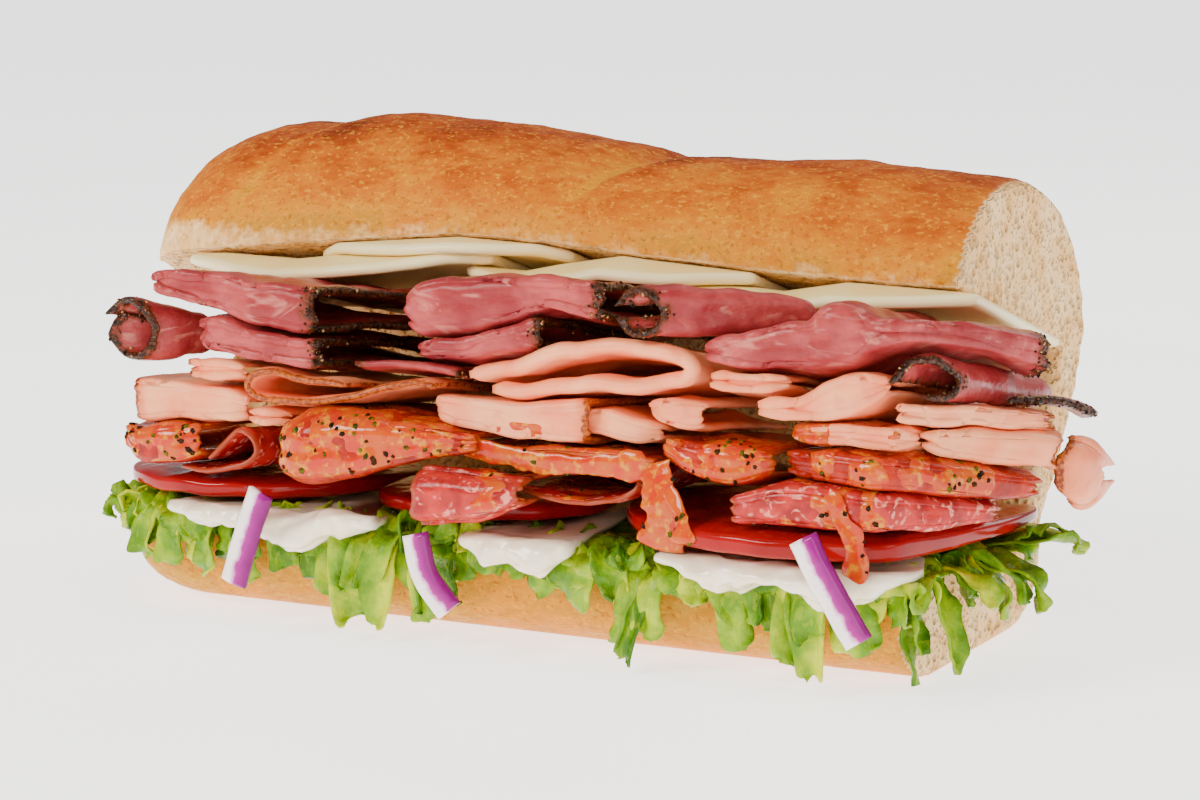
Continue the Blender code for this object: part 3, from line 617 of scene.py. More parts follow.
def cooked_ham():
    """Cooked ham: a moist pink slice with paler and deeper clouds, and a thin browned rim."""
    made, tree, shader, where = start("cooked_ham")
    meat = blend(tree, level(tree, grain(tree, where, 9, 3), 0.32, 0.68), "#F88456", "#FFA272")
    seams = level(tree, grain(tree, where, 6, 4, (0.6, 1, 1), 1.2), 0.57, 0.68, 0.0, 0.35)
    meat = blend(tree, seams, meat, "#E06A50")
    rim = ragged(tree, where, "rim", 1.2, 3, 0.2)
    brown = blend(tree, level(tree, grain(tree, where, 0.6, 2), 0.4, 0.6), "#7C2A04", "#B45808")
    blush = blend(tree, level(tree, rim, 0.7, 2.2), "#E87A4C", meat)
    paint(tree, shader, blend(tree, level(tree, rim, 0.45, 0.8), brown, blush))
    relief(tree, shader, (grain(tree, where, 2.8, 3), 0.35, 0.5), (grain(tree, where, 0.6, 3), 0.06, 0.5))
    dress(shader, rough=0.34, ior=1.42, specular=0.4, inside=0.14, depth=1.5 * MM, reach=(1.0, 0.45, 0.35))
    return made


def cured_sausage(name, lean, deep, fat, share, rind):
    """Cured sausage: coarse lean and fat, ground to 1 to 3 mm, with a film of its own oil."""
    made, tree, shader, where = start(name)
    meat = blend(tree, level(tree, grain(tree, where, 3.5, 4), 0.35, 0.65), lean, deep)
    flecks = level(tree, grain(tree, where, 1.7, 4, (0.6, 1, 1), 1.0), 0.66 - share, 0.76 - share, 0.0, 0.7)
    meat = blend(tree, flecks, meat, fat)
    pale = level(tree, cells(tree, where, 2.1), 0.10, 0.22, 0.45, 0.0)
    meat = blend(tree, pale, meat, fat)
    rim = ragged(tree, where, "rim", 1.1, 3, 0.2)
    paint(tree, shader, blend(tree, level(tree, rim, 0.3, 0.9), rind, meat))
    relief(tree, shader, (flecks, 0.12, 0.5), (grain(tree, where, 1.4, 4), 0.35, 0.6))
    dress(shader, rough=0.22, ior=1.46, specular=0.22, coat=0.12, coat_rough=0.08)
    return made


def ripe_tomato():
    """Ripe tomato: a taut glossy skin, and a wet cut face with paler flecks in its flesh."""
    made, tree, shader, where = start("ripe_tomato")
    skin = noted(tree, "skin")
    flesh = blend(tree, level(tree, grain(tree, where, 6, 3), 0.35, 0.65), "#980000", "#AE1204")
    flesh = blend(tree, level(tree, grain(tree, where, 1.3, 3), 0.5, 0.7, 0.0, 0.28), flesh, "#D04820")
    peel = blend(tree, level(tree, grain(tree, where, 9, 2), 0.35, 0.65), "#860002", "#9C0004")
    paint(tree, shader, blend(tree, skin, flesh, peel))
    wet = sums(tree, "MULTIPLY", grain(tree, where, 1.6, 3), level(tree, skin, 0, 1, 1.0, 0.15))
    relief(tree, shader, (wet, 0.3, 0.5))
    dress(shader, rough=0.15, ior=1.40, specular=0.25, coat=0.12, coat_rough=0.05)
    return made


def whipped_mayonnaise():
    """Mayonnaise: a thick, smooth and glossy emulsion, warm white."""
    made, tree, shader, where = start("whipped_mayonnaise")
    paint(tree, shader, blend(tree, level(tree, grain(tree, where, 7, 2), 0.3, 0.7), "#FFF3DC", "#FCE8C6"))
    relief(tree, shader, (grain(tree, where, 2.2, 2), 0.2, 0.5))
    dress(shader, rough=0.22, ior=1.45, coat=0.4, coat_rough=0.08, inside=0.2, depth=1.2 * MM,
          reach=(1.0, 0.8, 0.55))
    return made


def crisp_lettuce():
    """Shredded lettuce: crisp waxy leaf, pale at the rib and greener and more crinkled towards its edge."""
    made, tree, shader, where = start("crisp_lettuce")
    leaf = ragged(tree, where, "leaf", 4, 4, 0.24)
    base = add(tree, "ValToRGB", {0: leaf}, stops=LEAF_STOPS).outputs[0]
    # Fine branching veins, a little paler than the leaf and standing out of it
    veins = level(tree, grain(tree, where, 2.4, 4, (1, 1, 0.45), 2.2), 0.54, 0.60, 0.0, 0.30)
    paint(tree, shader, blend(tree, veins, base, "#A0B000"))
    relief(tree, shader, (veins, 0.2, 0.6), (grain(tree, where, 1.4, 4), 0.45, 0.7))
    dress(shader, rough=0.26, ior=1.42, specular=0.25)
    return made


def red_onion():
    """Red onion: wet white flesh, streaked along, with a purple skin at one edge."""
    made, tree, shader, where = start("red_onion")
    skin = ragged(tree, where, "skin", 2, 3, 0.05)
    paint(tree, shader, add(tree, "ValToRGB", {0: skin}, stops=ONION_STOPS).outputs[0])
    relief(tree, shader, (grain(tree, where, 0.9, 2, (1, 1, 0.15)), 0.1, 0.5))
    dress(shader, rough=0.2, ior=1.40, specular=0.3, coat=0.1, coat_rough=0.08)
    return made


def oily_dressing():
    """Oil and vinegar dressing, orange with the meats' own colour, thin and wet."""
    made, tree, shader, where = start("oily_dressing")
    base = blend(tree, level(tree, grain(tree, where, 3.0, 4), 0.35, 0.65), "#BC2400", "#C04C00")
    base = blend(tree, level(tree, grain(tree, where, 1.4, 3), 0.52, 0.68, 0.0, 0.85), base, "#D08400")
    paint(tree, shader, base)
    relief(tree, shader, (grain(tree, where, 2.0, 3), 0.3, 0.6))
    dress(shader, rough=0.10, ior=1.45, specular=0.25, coat=0.2, coat_rough=0.04)
    return made


def dried_herb(name, dark, light):
    """Dried herb or cracked pepper, in chips under a millimetre across."""
    made, tree, shader, where = start(name)
    paint(tree, shader, blend(tree, level(tree, grain(tree, where, 0.7, 3), 0.4, 0.6), dark, light))
    relief(tree, shader, (grain(tree, where, 0.3, 2), 0.1, 0.5))
    dress(shader, rough=0.6, ior=1.45, specular=0.12)
    return made


def end_share(x):
    """How wide the roll is at x, as a share, where its left end rounds off."""
    u = (ROUND_START - x) / (ROUND_START - ROUND_END)
    return 1.0 if u <= 0 else max(0.0, 1.0 - u**2.4) ** (1 / 2.4)


def crown(x, y):
    """The height of the top half over its cut face, with the lobes between the score lines."""
    along = x - SCORE_SLANT * (y - RIDGE)
    height = float(between(x, CROWN))
    for place_, depth in SCORES:
        height -= depth * math.exp(-(((along - place_) / SCORE_WIDTH) ** 2))
    return height


def cut_plane(x, y):
    """Height of the top half's cut face, which is a little arched along the roll."""
    return TOP_EDGE[1] + between(x, ARCH) + (y - TOP_EDGE[0]) * math.tan(TOP_TILT)


def spread(count, power):
    """Places from 1 to -1 across an outline, whose spacing near the middle and the ends power sets."""
    turns = [math.cos(math.pi * i / (count - 1)) for i in range(count)]
    return [math.copysign(abs(turn) ** power, turn) for turn in turns]


def roll_section(x):
    """The roll's C-shaped outline at x, as points that run round it."""
    share = end_share(x)
    tall = share**0.8
    half = BOTTOM_WIDTH / 2

    def bottom(u):
        """A point of the bottom half's outline."""
        drop = (1 - abs(u) ** BOTTOM_SQUARE) ** (1 / BOTTOM_SQUARE)
        z = max(0.0, BOTTOM_HEIGHT - (BOTTOM_HEIGHT + 1.0) * drop)
        return BOTTOM_MIDDLE + u * half * share, BOTTOM_HEIGHT - (BOTTOM_HEIGHT - z) * tall

    middle = TOP_WIDTH / 2
    lift = float(between(x, ARCH))
    forward = Vector((math.cos(TOP_TILT), math.sin(TOP_TILT)))
    outward = Vector((-math.sin(TOP_TILT), math.cos(TOP_TILT)))
    corner = Vector((TOP_EDGE[0], TOP_EDGE[1] + lift))
    centre = corner + forward * middle

    def top(u):
        """A point of the top half's outline."""
        flat = centre.x + forward.x * u * middle
        height = crown(x, flat) * (1 - abs(u) ** TOP_SQUARE) ** 0.5 * tall
        return tuple(centre + forward * (u * middle * share) + outward * height)

    count = AROUND * 2 - 1
    points = [bottom(-u) for u in spread(count, 0.75)]
    back_low = Vector(points[-1])
    back_high = Vector(top(1.0))
    spine = back_high - back_low
    bulge = Vector((spine.y, -spine.x)).normalized() * SPINE_BULGE * share
    points += [tuple(back_low + spine * t + bulge * math.sin(math.pi * t)) for t in (0.33, 0.67)]
    points += [top(u) for u in spread(count, 0.85)]
    wall = SPINE_WALL * share
    inner_high = centre + forward * (middle * share - wall)
    inner_low = Vector((back_low.x - wall * 0.85, BOTTOM_HEIGHT - 0.2))
    front_top, front_low = Vector(points[-1]), Vector(points[0])
    points += [tuple(front_top.lerp(inner_high, t)) for t in (0.25, 0.5, 0.75, 1.0)]
    points += [tuple(inner_high.lerp(inner_low, t) + bulge) for t in (0.33, 0.67)]
    points += [tuple(inner_low.lerp(front_low, t)) for t in (0.0, 0.25, 0.5, 0.75)]
    return points


def plain_roll():
    """The roll's fine mesh, before its crust and crumb are given their relief."""
    rounding = [ROUND_END + step for step in ROUNDING]
    rounding.append(ROUND_START - 1.0)
    rings = []
    for x in rounding + list(np.linspace(ROUND_START + 1.0, CUT_END, SECTIONS)):
        near = min(1.0, max(0.0, (LEAN_START - x) / (LEAN_START - ROUND_END)))
        rings.append([(x - END_LEAN * near * float(between(z, LEAN_HEIGHTS)), y, z)
                      for y, z in roll_section(x)])
    piece = joined("bread", [tube(rings)])
    deselect()
    piece.select_set(True)
    bpy.context.view_layer.objects.active = piece
    bpy.ops.object.mode_set(mode="EDIT")
    bpy.ops.mesh.select_all(action="SELECT")
    bpy.ops.mesh.normals_make_consistent(inside=False)
    bpy.ops.object.mode_set(mode="OBJECT")
    apply(piece, "REMESH", mode="VOXEL", voxel_size=BREAD_GRAIN * MM, adaptivity=0.0)
    apply(piece, "SMOOTH", factor=0.5, iterations=2)
    # The hinge's thin left end is smoothed further
    p = coordinates(piece)
    x, y, z = p.T
    right, front, (low, high) = THIN_END
    thin = np.flatnonzero((x < right) & (y > front) & (z > low) & (z < high))
    piece.vertex_groups.new(name="thin").add(thin.tolist(), 1.0, "REPLACE")
    apply(piece, "SMOOTH", factor=0.5, iterations=10, vertex_group="thin")
    piece.vertex_groups.clear()
    return piece


def crumb_of_roll(p, n):
    """How much of each point of the roll is crumb: the cut faces, and the pale band over the lower edge."""
    x, y, z = p.T
    plane = cut_plane(x, y)
    # The cut faces: the cut end, the two faces inside the bun and the wall of the hinge between them
    at_end = ease(x, CUT_END - 1.2, CUT_END - 0.4) * ease(n[:, 0], 0.4, 0.8)
    top_face = ease(-np.abs(z - plane), -1.3, -0.5) * ease(-n[:, 2], 0.3, 0.7)
    low_face = ease(-np.abs(z - BOTTOM_HEIGHT), -1.3, -0.5) * ease(n[:, 2], 0.5, 0.8)
    wall = ease(-n[:, 1], 0.2, 0.6) * ease(y, 12.0, 15.0) * ease(z, BOTTOM_HEIGHT - 1, BOTTOM_HEIGHT)
    wall = wall * ease(plane - z, -2.0, 0.0)
    crumb = np.clip(at_end + top_face + low_face + wall, 0.0, 1.0)
    # The crust's lower edge is pale, and the pale band is wider at the rounded end
    over = (z - plane) * math.cos(TOP_TILT)
    band = between(x, BAND)
    top_half = ease(z - plane, -1.5, 0.0) * (y < 45.0)
    edge_noise = rough(p, 5.0, 3.0) * 1.4
    pale = top_half * ease(-(over + edge_noise), -(band + 3.2), -(band - 1.2))
    return np.maximum(crumb, between(x, BAND_PALE) * pale)


def bake_of_roll(p):
    """How browned the crust is at each point, and where its score lines have opened."""
    x, y, z = p.T
    plane = cut_plane(x, y)
    over = (z - plane) * math.cos(TOP_TILT)
    front = ease(-y, 5.0, 30.0)
    bake_top = BAKE_EDGE + BAKE_SHOULDER * ease(over, 1.5, 11.0) + BAKE_RIDGE * ease(over, 12.0, 25.0)
    bake_low = BAKE_BOTTOM - 0.07 * ease(z, 9.0, 16.0) + 0.10 * ease(-z, -5.0, 0.0)
    bake = np.where(z > np.minimum(plane - 1.0, 44.0), bake_top, bake_low)
    bake = bake - END_PALER * ease(-x, 58.0, 80.0) * ease(-over, -18.0, 0.0)
    bake = bake + 0.05 * front * ease(over, 3.0, 8.0)
    along = x - SCORE_SLANT * (y - RIDGE)
    seam = np.zeros_like(x)
    for spot, depth in SCORES:
        wander = 0.8 * rough(p, 9.0, spot)
        seam += ease(-np.abs(along - spot + wander), -2.6, -0.3) * ease(over, 6.0, 12.0)
        bake += 0.14 * np.exp(-(((along - spot - 5.0) / 3.5) ** 2)) * ease(over, 8.0, 16.0) * min(depth, 1.5)
    seam = np.clip(seam, 0, 1)
    return np.clip(bake - SCORE_PALER * seam, 0.0, 1.0), seam


def roll_of_bread():
    """The roll, with a crust that is fine and wrinkled and cut faces that are torn and porous."""
    piece = plain_roll()
    p = coordinates(piece)
    n = vertex_normals(piece)
    crumb = crumb_of_roll(p, n)
    bake, seam = bake_of_roll(p)
    size, depth = CRUST_LUMPS
    lumps = depth * rough(p, size, 1.0)
    size, depth = CRUST_WRINKLES
    lumps = lumps + depth * rough(p, size, 2.0, 3)
    size, depth = TORN_CRUMB
    torn = depth * rough(p, size, 5.0, 3) - 0.10
    move = lumps * (1 - crumb) + torn * crumb - SCORE_SUNK * seam
    # The flat that the roll rests on stays flat
    move = move * ease(p[:, 2], 0.2, 2.5)
    p = p + n * move[:, None]
    p[:, 2] = np.maximum(p[:, 2], 0.0)
    place(piece, p)
    note(piece, "bake", bake)
    note(piece, "crumb", crumb)
    return hand_over(piece, baked_bread(), "crust", "bread_roll")


def folded(rows, thickness, legs, rise=SWELL, close=0.0):
    """Stations of a slice folded over at the front, its fold along X, as the solid's are.

    Behind the fold the two legs swell a little, so that they lie on the layers under and over them. The
    lower leg of a slice with a wide mouth rises behind it, which closes the mouth from within.
    """
    stations = []
    for row in rows:
        x, front, low, high = row[:4]
        lower, upper = row[4:6] if len(row) > 4 else legs
        shift_low, shift_high = row[6:8] if len(row) > 6 else (0.0, 0.0)
        half = thickness / 2
        low, high, front = low + half, high - half, front + half
        tall = high - low
        stations.append([
            (x + shift_low, front + lower, low - SWELL + close * tall),
            (x + shift_low / 2, front + lower / 2, low - SWELL + 0.7 * close * tall),
            (x, front + 0.50 * tall, low),
            (x, front + 0.05 * tall, low + 0.16 * tall),
            (x, front, low + 0.5 * tall),
            (x, front + 0.05 * tall, low + 0.84 * tall),
            (x, front + 0.50 * tall, high),
            (x + shift_high / 2, front + upper / 2, high + rise),
            (x + shift_high, front + upper, high + rise),
        ])
    return stations


def looped(path, front, steps):
    """Stations of a slice curled about an axis that runs back from the front, as the solid's are."""
    middle_x = sum(p[0] for p in path) / len(path)
    middle_z = sum(p[1] for p in path) / len(path)
    return [[(middle_x + (x - middle_x) * width + right,
              front + back + CURL_WAVE * math.sin(1.9 * i) * width,
              middle_z + (z - middle_z) * height + up)
             for i, (x, z) in enumerate(path)]
            for back, right, up, width, height in steps]


def arc_path(x, z, wide, tall, start, end, count=9, spiral=0.0):
    """A curl's front edge: an ellipse arc from start to end in degrees."""
    path = []
    for i in range(count):
        share = i / (count - 1)
        angle = math.radians(start + (end - start) * share)
        size = 1.0 + spiral * share
        path.append((x + wide * size * math.cos(angle), z + tall * size * math.sin(angle)))
    return path


SURFACES = {}


def slice_of_meat(name, sort, stations, thickness, curl, seed):
    """One slice: its fold, its soft creases, its thin edge, and how far each point is from the rim."""
    stations = np.array(stations, float)
    length = np.linalg.norm(np.diff(stations.mean(axis=0), axis=0), axis=1).sum()
    width = np.linalg.norm(np.diff(stations.mean(axis=1), axis=0), axis=1).sum()
    across = int(np.clip(length / 1.0, 24, 110))
    along = int(np.clip(width / 0.8, 14, 76))
    u, w = np.linspace(0, 1, across + 1), np.linspace(0, 1, along + 1)
    rows = through(np.swapaxes(stations, 0, 1), u)
    points = through(np.swapaxes(rows, 0, 1), w)
    rind = RINDS.get(name, "LR")
    left, right = w * width, (1 - w) * width
    if not curl:
        # The cut ends wander a little, and an end that is tucked under a neighbour narrows towards it
        wander = rough(np.stack([u * 9, 0 * u, 0 * u], -1), 1.0, seed)
        ends = (1 - ease(w, 0.0, 0.35)) - ease(w, 0.65, 1.0)
        points[..., 0] -= ends[:, None] * wander[None, :] * 0.9
        for side, distance in (("L", left), ("R", right)):
            tuck = np.zeros_like(left) if side in rind else 1 - ease(distance, 0.0, TUCK)
            centre = points[..., 2].mean(axis=1, keepdims=True)
            points[..., 1] += (1.2 * tuck)[:, None]
            points[..., 2] += (centre - points[..., 2]) * 0.3 * tuck[:, None]
    points = swing(press(points))
    normal = normals_of(points)
    soft = sum(depth * rough(points, size, seed + own) for size, depth, own in CREASES)
    points = points + normal * (soft * WRINKLE[sort])[..., None]
    edge_u = np.minimum(u, 1 - u) * length
    edge_w = np.minimum(left, right)
    if curl:
        from_rind = left if rind else left + TUCK
    else:
        from_left = left if "L" in rind else left + NO_RIM
        from_right = right if "R" in rind else right + NO_RIM
        from_rind = np.minimum(from_left, from_right)
    rim = np.minimum(from_rind[:, None], (edge_u + 0.6)[None, :])
    nearest = np.minimum(edge_w[:, None], edge_u[None, :])
    piece, row, column = grid_piece(name + "_slice", points)
    note(piece, "rim", rim[row, column])
    thicken(piece, thickness, (0.45 + 0.55 * ease(nearest, 0.0, 1.3))[row, column])
    SURFACES[name] = (points, normals_of(points), nearest, rim)
    return hand_over(piece, MEATS[sort], sort, name)


def cheese_slices():
    """The slices of cheese under the top half, their front edges soft and hanging over."""
    finish = sliced_cheese()
    for seed, (name, left, right, front, lanes) in enumerate(CHEESES):
        u, w = np.linspace(0, 1, 100), np.linspace(0, 1, 64) ** 1.15
        x = left + (right - left) * u
        edge = front + CHEESE_BOW * np.abs(2 * u - 1) ** 2.6
        edge = edge + 0.7 * rough(np.stack([x, 0 * x, 0 * x], -1), 14.0, seed * 3.1)
        y = edge[None, :] + (CHEESE_BACK - edge[None, :]) * w[:, None]
        x = np.broadcast_to(x, y.shape)
        under = CLEAR + CHEESE / 2 + (CHEESE + CLEAR) * between(x, lanes)
        over = np.maximum(0.0, TOP_EDGE[0] + 1.0 - y)
        z = cut_plane(x, np.maximum(y, TOP_EDGE[0] + 1.0)) - under - CHEESE_HANG * over**2
        points = np.stack([x, y, z], -1)
        points[..., 2] += 0.25 * rough(points, 16.0, seed) * ease(over, 0.0, 3.0)
        piece, row, column = grid_piece(name + "_slice", points)
        near = np.minimum(np.minimum(u, 1 - u)[None, :] * (right - left), (y - edge[None, :]))
        near = near[row, column]
        note(piece, "rim", near)
        thicken(piece, CHEESE * 1.12, 0.5 + 0.5 * ease(near, 0.0, 0.9))
        hand_over(piece, finish, "cheese", name)


def tomato_slices():
    """Round slices of tomato, their skin at the rim, a little uneven and softly rounded."""
    finish = ripe_tomato()
    for name, x, y, radius, low, high in TOMATOES:
        deselect()
        bpy.ops.mesh.primitive_uv_sphere_add(segments=160, ring_count=48, radius=1.0)
        piece = bpy.context.object
        piece.name = name + "_slice"
        p = coordinates(piece) * MM
        flat = np.hypot(p[:, 0], p[:, 1])
        angle = np.arctan2(p[:, 1], p[:, 0])
        uneven = 1 + 0.012 * np.sin(3 * angle + x) + 0.008 * np.sin(5 * angle)
        out = flat**TOMATO_RIM * radius * uneven
        tall = np.sign(p[:, 2]) * np.abs(p[:, 2]) ** TOMATO_RIM * (high - low) / 2
        tall = np.where(flat > 0.001, tall, np.sign(p[:, 2]) * (high - low) / 2)
        points = np.stack([x + out * np.cos(angle), y + out * np.sin(angle), (low + high) / 2 + tall], -1)
        points = swing(press(points))
        skin = ease(-np.abs(tall) / ((high - low) / 2), -0.86, -0.6)
        points[:, 2] += 0.12 * rough(points, 3.0, x) * (1 - skin)
        place(piece, points)
        note(piece, "skin", skin)
        hand_over(piece, finish, "tomato", name)


def beads_of_mayonnaise():
    """The mayonnaise: a lumpy bead with drips at the front of a thin smear."""
    finish = whipped_mayonnaise()
    tail_low, tail_high = MAYO_TAIL
    for seed, (name, front, knots) in enumerate(BEADS):
        first, last = knots[0][0], knots[-1][0]
        count = round((last - first) / 0.7)
        rings = []
        for i in range(count + 1):
            share = i / count
            x = first + (last - first) * share
            low, high, back = (float(between(x, [(k[0], k[n]) for k in knots])) for n in (1, 2, 3))
            full = max(0.15, math.sin(math.pi * (0.04 + 0.92 * share))) ** 0.45
            low = tail_low - (tail_low - 0.1 - low) * full
            high = tail_high + (high - tail_high) * full
            middle, tall = (low + high) / 2, (high - low) / 2
            reach = MAYO_REACH + back
            deep = (MAYO_REACH - front) * (0.3 + 0.7 * full) / 1.5
            smear = reach + 2.0 + MAYO_SMEAR * math.sin(math.pi * share)
            ring = [(x, reach - deep / 2 - deep * math.cos(a), middle + tall * math.sin(a))
                    for a in np.linspace(-2.0, 2.0, 30)]
            ring += [(x, reach + 1.0, tail_high), (x, smear, tail_high), (x, smear, tail_low),
                     (x, reach + 1.0, tail_low)]
            rings.append(press(np.array(ring)))
        rings = np.array(rings)
        # Lumps of 4 mm and folds of 9 mm, which sag a little at the bead's lower edge
        lump = rough(rings, 4.0, seed * 5.0, 2) * 1.3 + rough(rings, 9.0, seed + 2.0) * 0.6
        facing = ease(-rings[..., 1], 36.0, 38.5)
        rings[..., 1] -= facing * np.maximum(lump, -0.7) * 1.1
        rings[..., 2] -= facing * lump * 1.0 * ease(-rings[..., 2], -19.5, -16.0)
        piece = joined(name + "_bead", [tube(rings)])
        hand_over(piece, finish, "mayonnaise", name)


def strips_of_onion():
    """Curved strips of onion, with their purple skin along one edge and thin lines along them."""
    finish = red_onion()
    for name, points in ONIONS:
        wide, thick = ONION
        t = np.linspace(0, 1, 60)
        path, side, out = framed(points, t)
        s = np.linspace(-1, 1, 15)
        cupped = (0.35 * (1 - s**2))[None, :, None]
        surface = path[:, None] + side[:, None] * s[None, :, None] * wide / 2 - out[:, None] * cupped
        surface = surface + 0.10 * rough(surface, 4.0, wide)[..., None]
        piece, row, column = grid_piece(name + "_strip", surface)
        note(piece, "skin", ((s + 1) / 2)[column])
        near = np.minimum(1 - np.abs(s[column]), np.minimum(t[row], 1 - t[row]) * 8)
        thicken(piece, thick, 0.5 + 0.5 * ease(near, 0.0, 0.3))
        hand_over(piece, finish, "onion", name)


def shred(points, wide, facing, twist, rng):
    """The points of one crinkled shred of lettuce, and how green each is."""
    along, across = SHRED_STEPS
    t = np.linspace(0, 1, along + 1)
    s = np.linspace(-1, 1, across + 1)
    path = through(points, t)
    ahead = np.gradient(path, axis=0)
    ahead /= np.maximum(np.linalg.norm(ahead, axis=1, keepdims=True), 1e-6)
    turn = facing + twist * t
    side = np.stack([np.cos(turn), np.sin(turn), 0 * turn], -1)
    side = side - ahead * (side * ahead).sum(1, keepdims=True)
    side /= np.maximum(np.linalg.norm(side, axis=1, keepdims=True), 1e-6)
    out = np.cross(ahead, side)
    phase = rng.uniform(0, 6.28)
    shape = (0.62 + 0.38 * np.sin(math.pi * np.clip(t * 0.95 + 0.08, 0, 1))) * (1 - 0.35 * ease(t, 0.85, 1.0))
    half = wide / 2 * shape * (1 + 0.14 * np.sin(7 * t + phase))
    frill = 0.55 * np.sin(9.5 * t[:, None] + phase + 1.4 * s[None, :]) * np.abs(s[None, :]) ** 1.5
    frill = frill + 0.34 * np.sin(23 * t[:, None] + 2 * phase + 2.2 * s[None, :]) * s[None, :] ** 2
    curl = rng.uniform(-0.16, 0.22) * wide * s[None, :] ** 2
    grid = path[:, None] + side[:, None] * (half[:, None] * s[None, :])[..., None]
    grid = grid + out[:, None] * ((frill * min(1.6, wide / 4) + curl) * ease(t, 0.0, 0.3)[:, None])[..., None]
    grid = grid + 0.38 * rough(grid, 2.0, phase)[..., None] * out[:, None]
    green = rng.uniform(0.12, 0.68) + 0.22 * s[None, :] * rng.choice((-1, 1)) + 0.1 * t[:, None]
    return grid, np.broadcast_to(green, grid.shape[:2])


def hanging_shreds(middle, rng):
    """Shreds that hang over the bread's front, and past its cut end: their path, width, facing and twist."""
    strands = []
    for x, tip, lean, wide, out in SHREDS:
        for back in range(3):
            at = x + (0.0, rng.uniform(-3.4, -1.2), rng.uniform(1.2, 3.4))[back]
            less = (0.0, rng.uniform(1.0, 5.0), rng.uniform(2.5, 6.5))[back]
            reach = out + (0.0, rng.uniform(-1.5, 0.4), rng.uniform(-1.2, 1.6))[back]
            end_z = min(tip + less, middle - 1.0)
            leaning = lean + (0.0, rng.uniform(-4, 4), rng.uniform(-4, 4))[back]
            strands.append((
                ((at - leaning * 0.3, -22.0, middle + 0.3), (at, -30.5, middle + rng.uniform(0.1, 0.9)),
                 (at + leaning * 0.3, -reach, min(middle - 0.8, (middle + end_z) / 2 + 3.0)),
                 (at + leaning * 0.8, -reach - 0.4, end_z + 2.0),
                 (at + leaning, -reach + rng.uniform(-0.8, 0.8), end_z)),
                wide * rng.uniform(0.95, 1.5), rng.uniform(-0.3, 0.3), rng.uniform(-0.9, 0.9)))
    for y, tip, reach, wide in END_SHREDS:
        for back in range(3):
            at = y + (0.0, rng.uniform(-3, 3), rng.uniform(-3, 3))[back]
            far = reach - (0.0, rng.uniform(1, 5), rng.uniform(2, 8))[back]
            end_z = tip + (0.0, rng.uniform(1, 4), rng.uniform(-3, 2))[back]
            strands.append((
                ((69.0, at, middle + 0.2), (76.4, at, middle + 0.4),
                 (far - 2.0, at - 1.5, (middle + end_z) / 2 + 1.6), (far, at - 2.5, end_z)),
                wide * rng.uniform(1.0, 1.35), math.pi / 2, rng.uniform(-0.7, 0.7)))
    return strands


def fringe_of_shreds(middle, rng):
    """Short shreds that lie on the bread's front edge, and round its left end."""
    in_front, at_end = FRINGE
    strands = []
    for i in range(in_front):
        x = -70.0 + 146.0 * (i + rng.uniform(-0.4, 0.4)) / (in_front - 1)
        share = end_share(x - END_LEAN)
        edge = BOTTOM_MIDDLE - 31.5 * share
        out = edge - rng.uniform(0.5, 4.2)
        top = middle + rng.uniform(0.0, 1.8)
        slide = rng.uniform(-6, 6)
        strands.append((((x - slide, edge + 10, middle + 0.2), (x, edge + 2.5, top),
                         (x + slide * 0.6, out, top - rng.uniform(0.3, 2.2)),
                         (x + slide, out + rng.uniform(-0.5, 1.2), top - rng.uniform(1.5, 5.5))),
                        rng.uniform(3.5, 7.0), rng.uniform(-0.5, 0.5), rng.uniform(-0.8, 0.8)))
    for i in range(at_end):
        angle = math.radians(140 + 95 * i / (at_end - 1))
        x, y = -66.0 + 12.0 * math.cos(angle), -6.0 + 22.0 * math.sin(angle)
        far_x, far_y = -61.0 + 12.0 * math.cos(angle), -5.0 + 27.0 * math.sin(angle)
        drop = rng.uniform(0.5, 6.0)
        strands.append((((x, y, middle + 0.3), (far_x + 3, far_y, middle + 1.2),
                         (far_x, far_y, middle + 0.2), (far_x - 1.5, far_y - 0.8, middle - drop)),
                        rng.uniform(4.5, 7.5), angle + math.pi / 2, rng.uniform(-0.5, 0.5)))
    return strands


def heap_of_lettuce():
    """Shredded lettuce: a layer in the roll, and the shreds that hang over the bread and past its end."""
    rng = random.Random(7)
    low, high = LETTUCE_FACE
    middle = (low + high) / 2
    strands = hanging_shreds(middle, rng) + fringe_of_shreds(middle, rng)
    meshes, greens = [], []
    for points, wide, facing, twist in strands:
        grid, green = shred(points, wide, facing, twist, rng)
        grid[..., 2] = np.maximum(grid[..., 2], 0.4)
        meshes.append((grid.reshape(-1, 3), grid_faces(*grid.shape[:2])))
        greens.append(green.ravel())
    # The layer itself, inside the roll
    u, w = np.linspace(0, 1, 90), np.linspace(-1, 1, 30)
    x = LETTUCE_ENDS[0] + (LETTUCE_ENDS[1] - LETTUCE_ENDS[0]) * u
    share = np.array([max(0.3, end_share(a - END_LEAN)) for a in x])
    y = BOTTOM_MIDDLE + (LETTUCE_MIDDLE - BOTTOM_MIDDLE + LETTUCE_HALF * w[:, None]) * share[None, :]
    layer = np.stack([np.broadcast_to(x, y.shape), y, np.full(y.shape, middle)], -1)
    layer[..., 2] += 0.5 * rough(layer, 4.0, 2.0)
    layer = press(layer)
    meshes.append((layer.reshape(-1, 3), grid_faces(*layer.shape[:2])))
    greens.append(np.full(layer.shape[:2], 0.45).ravel())
    piece = joined("lettuce_heap", meshes)
    note(piece, "leaf", np.concatenate(greens))
    apply(piece, "SOLIDIFY", thickness=LEAF * 0.55 * MM, offset=0.0)
    hand_over(piece, crisp_lettuce(), "lettuce", "lettuce")


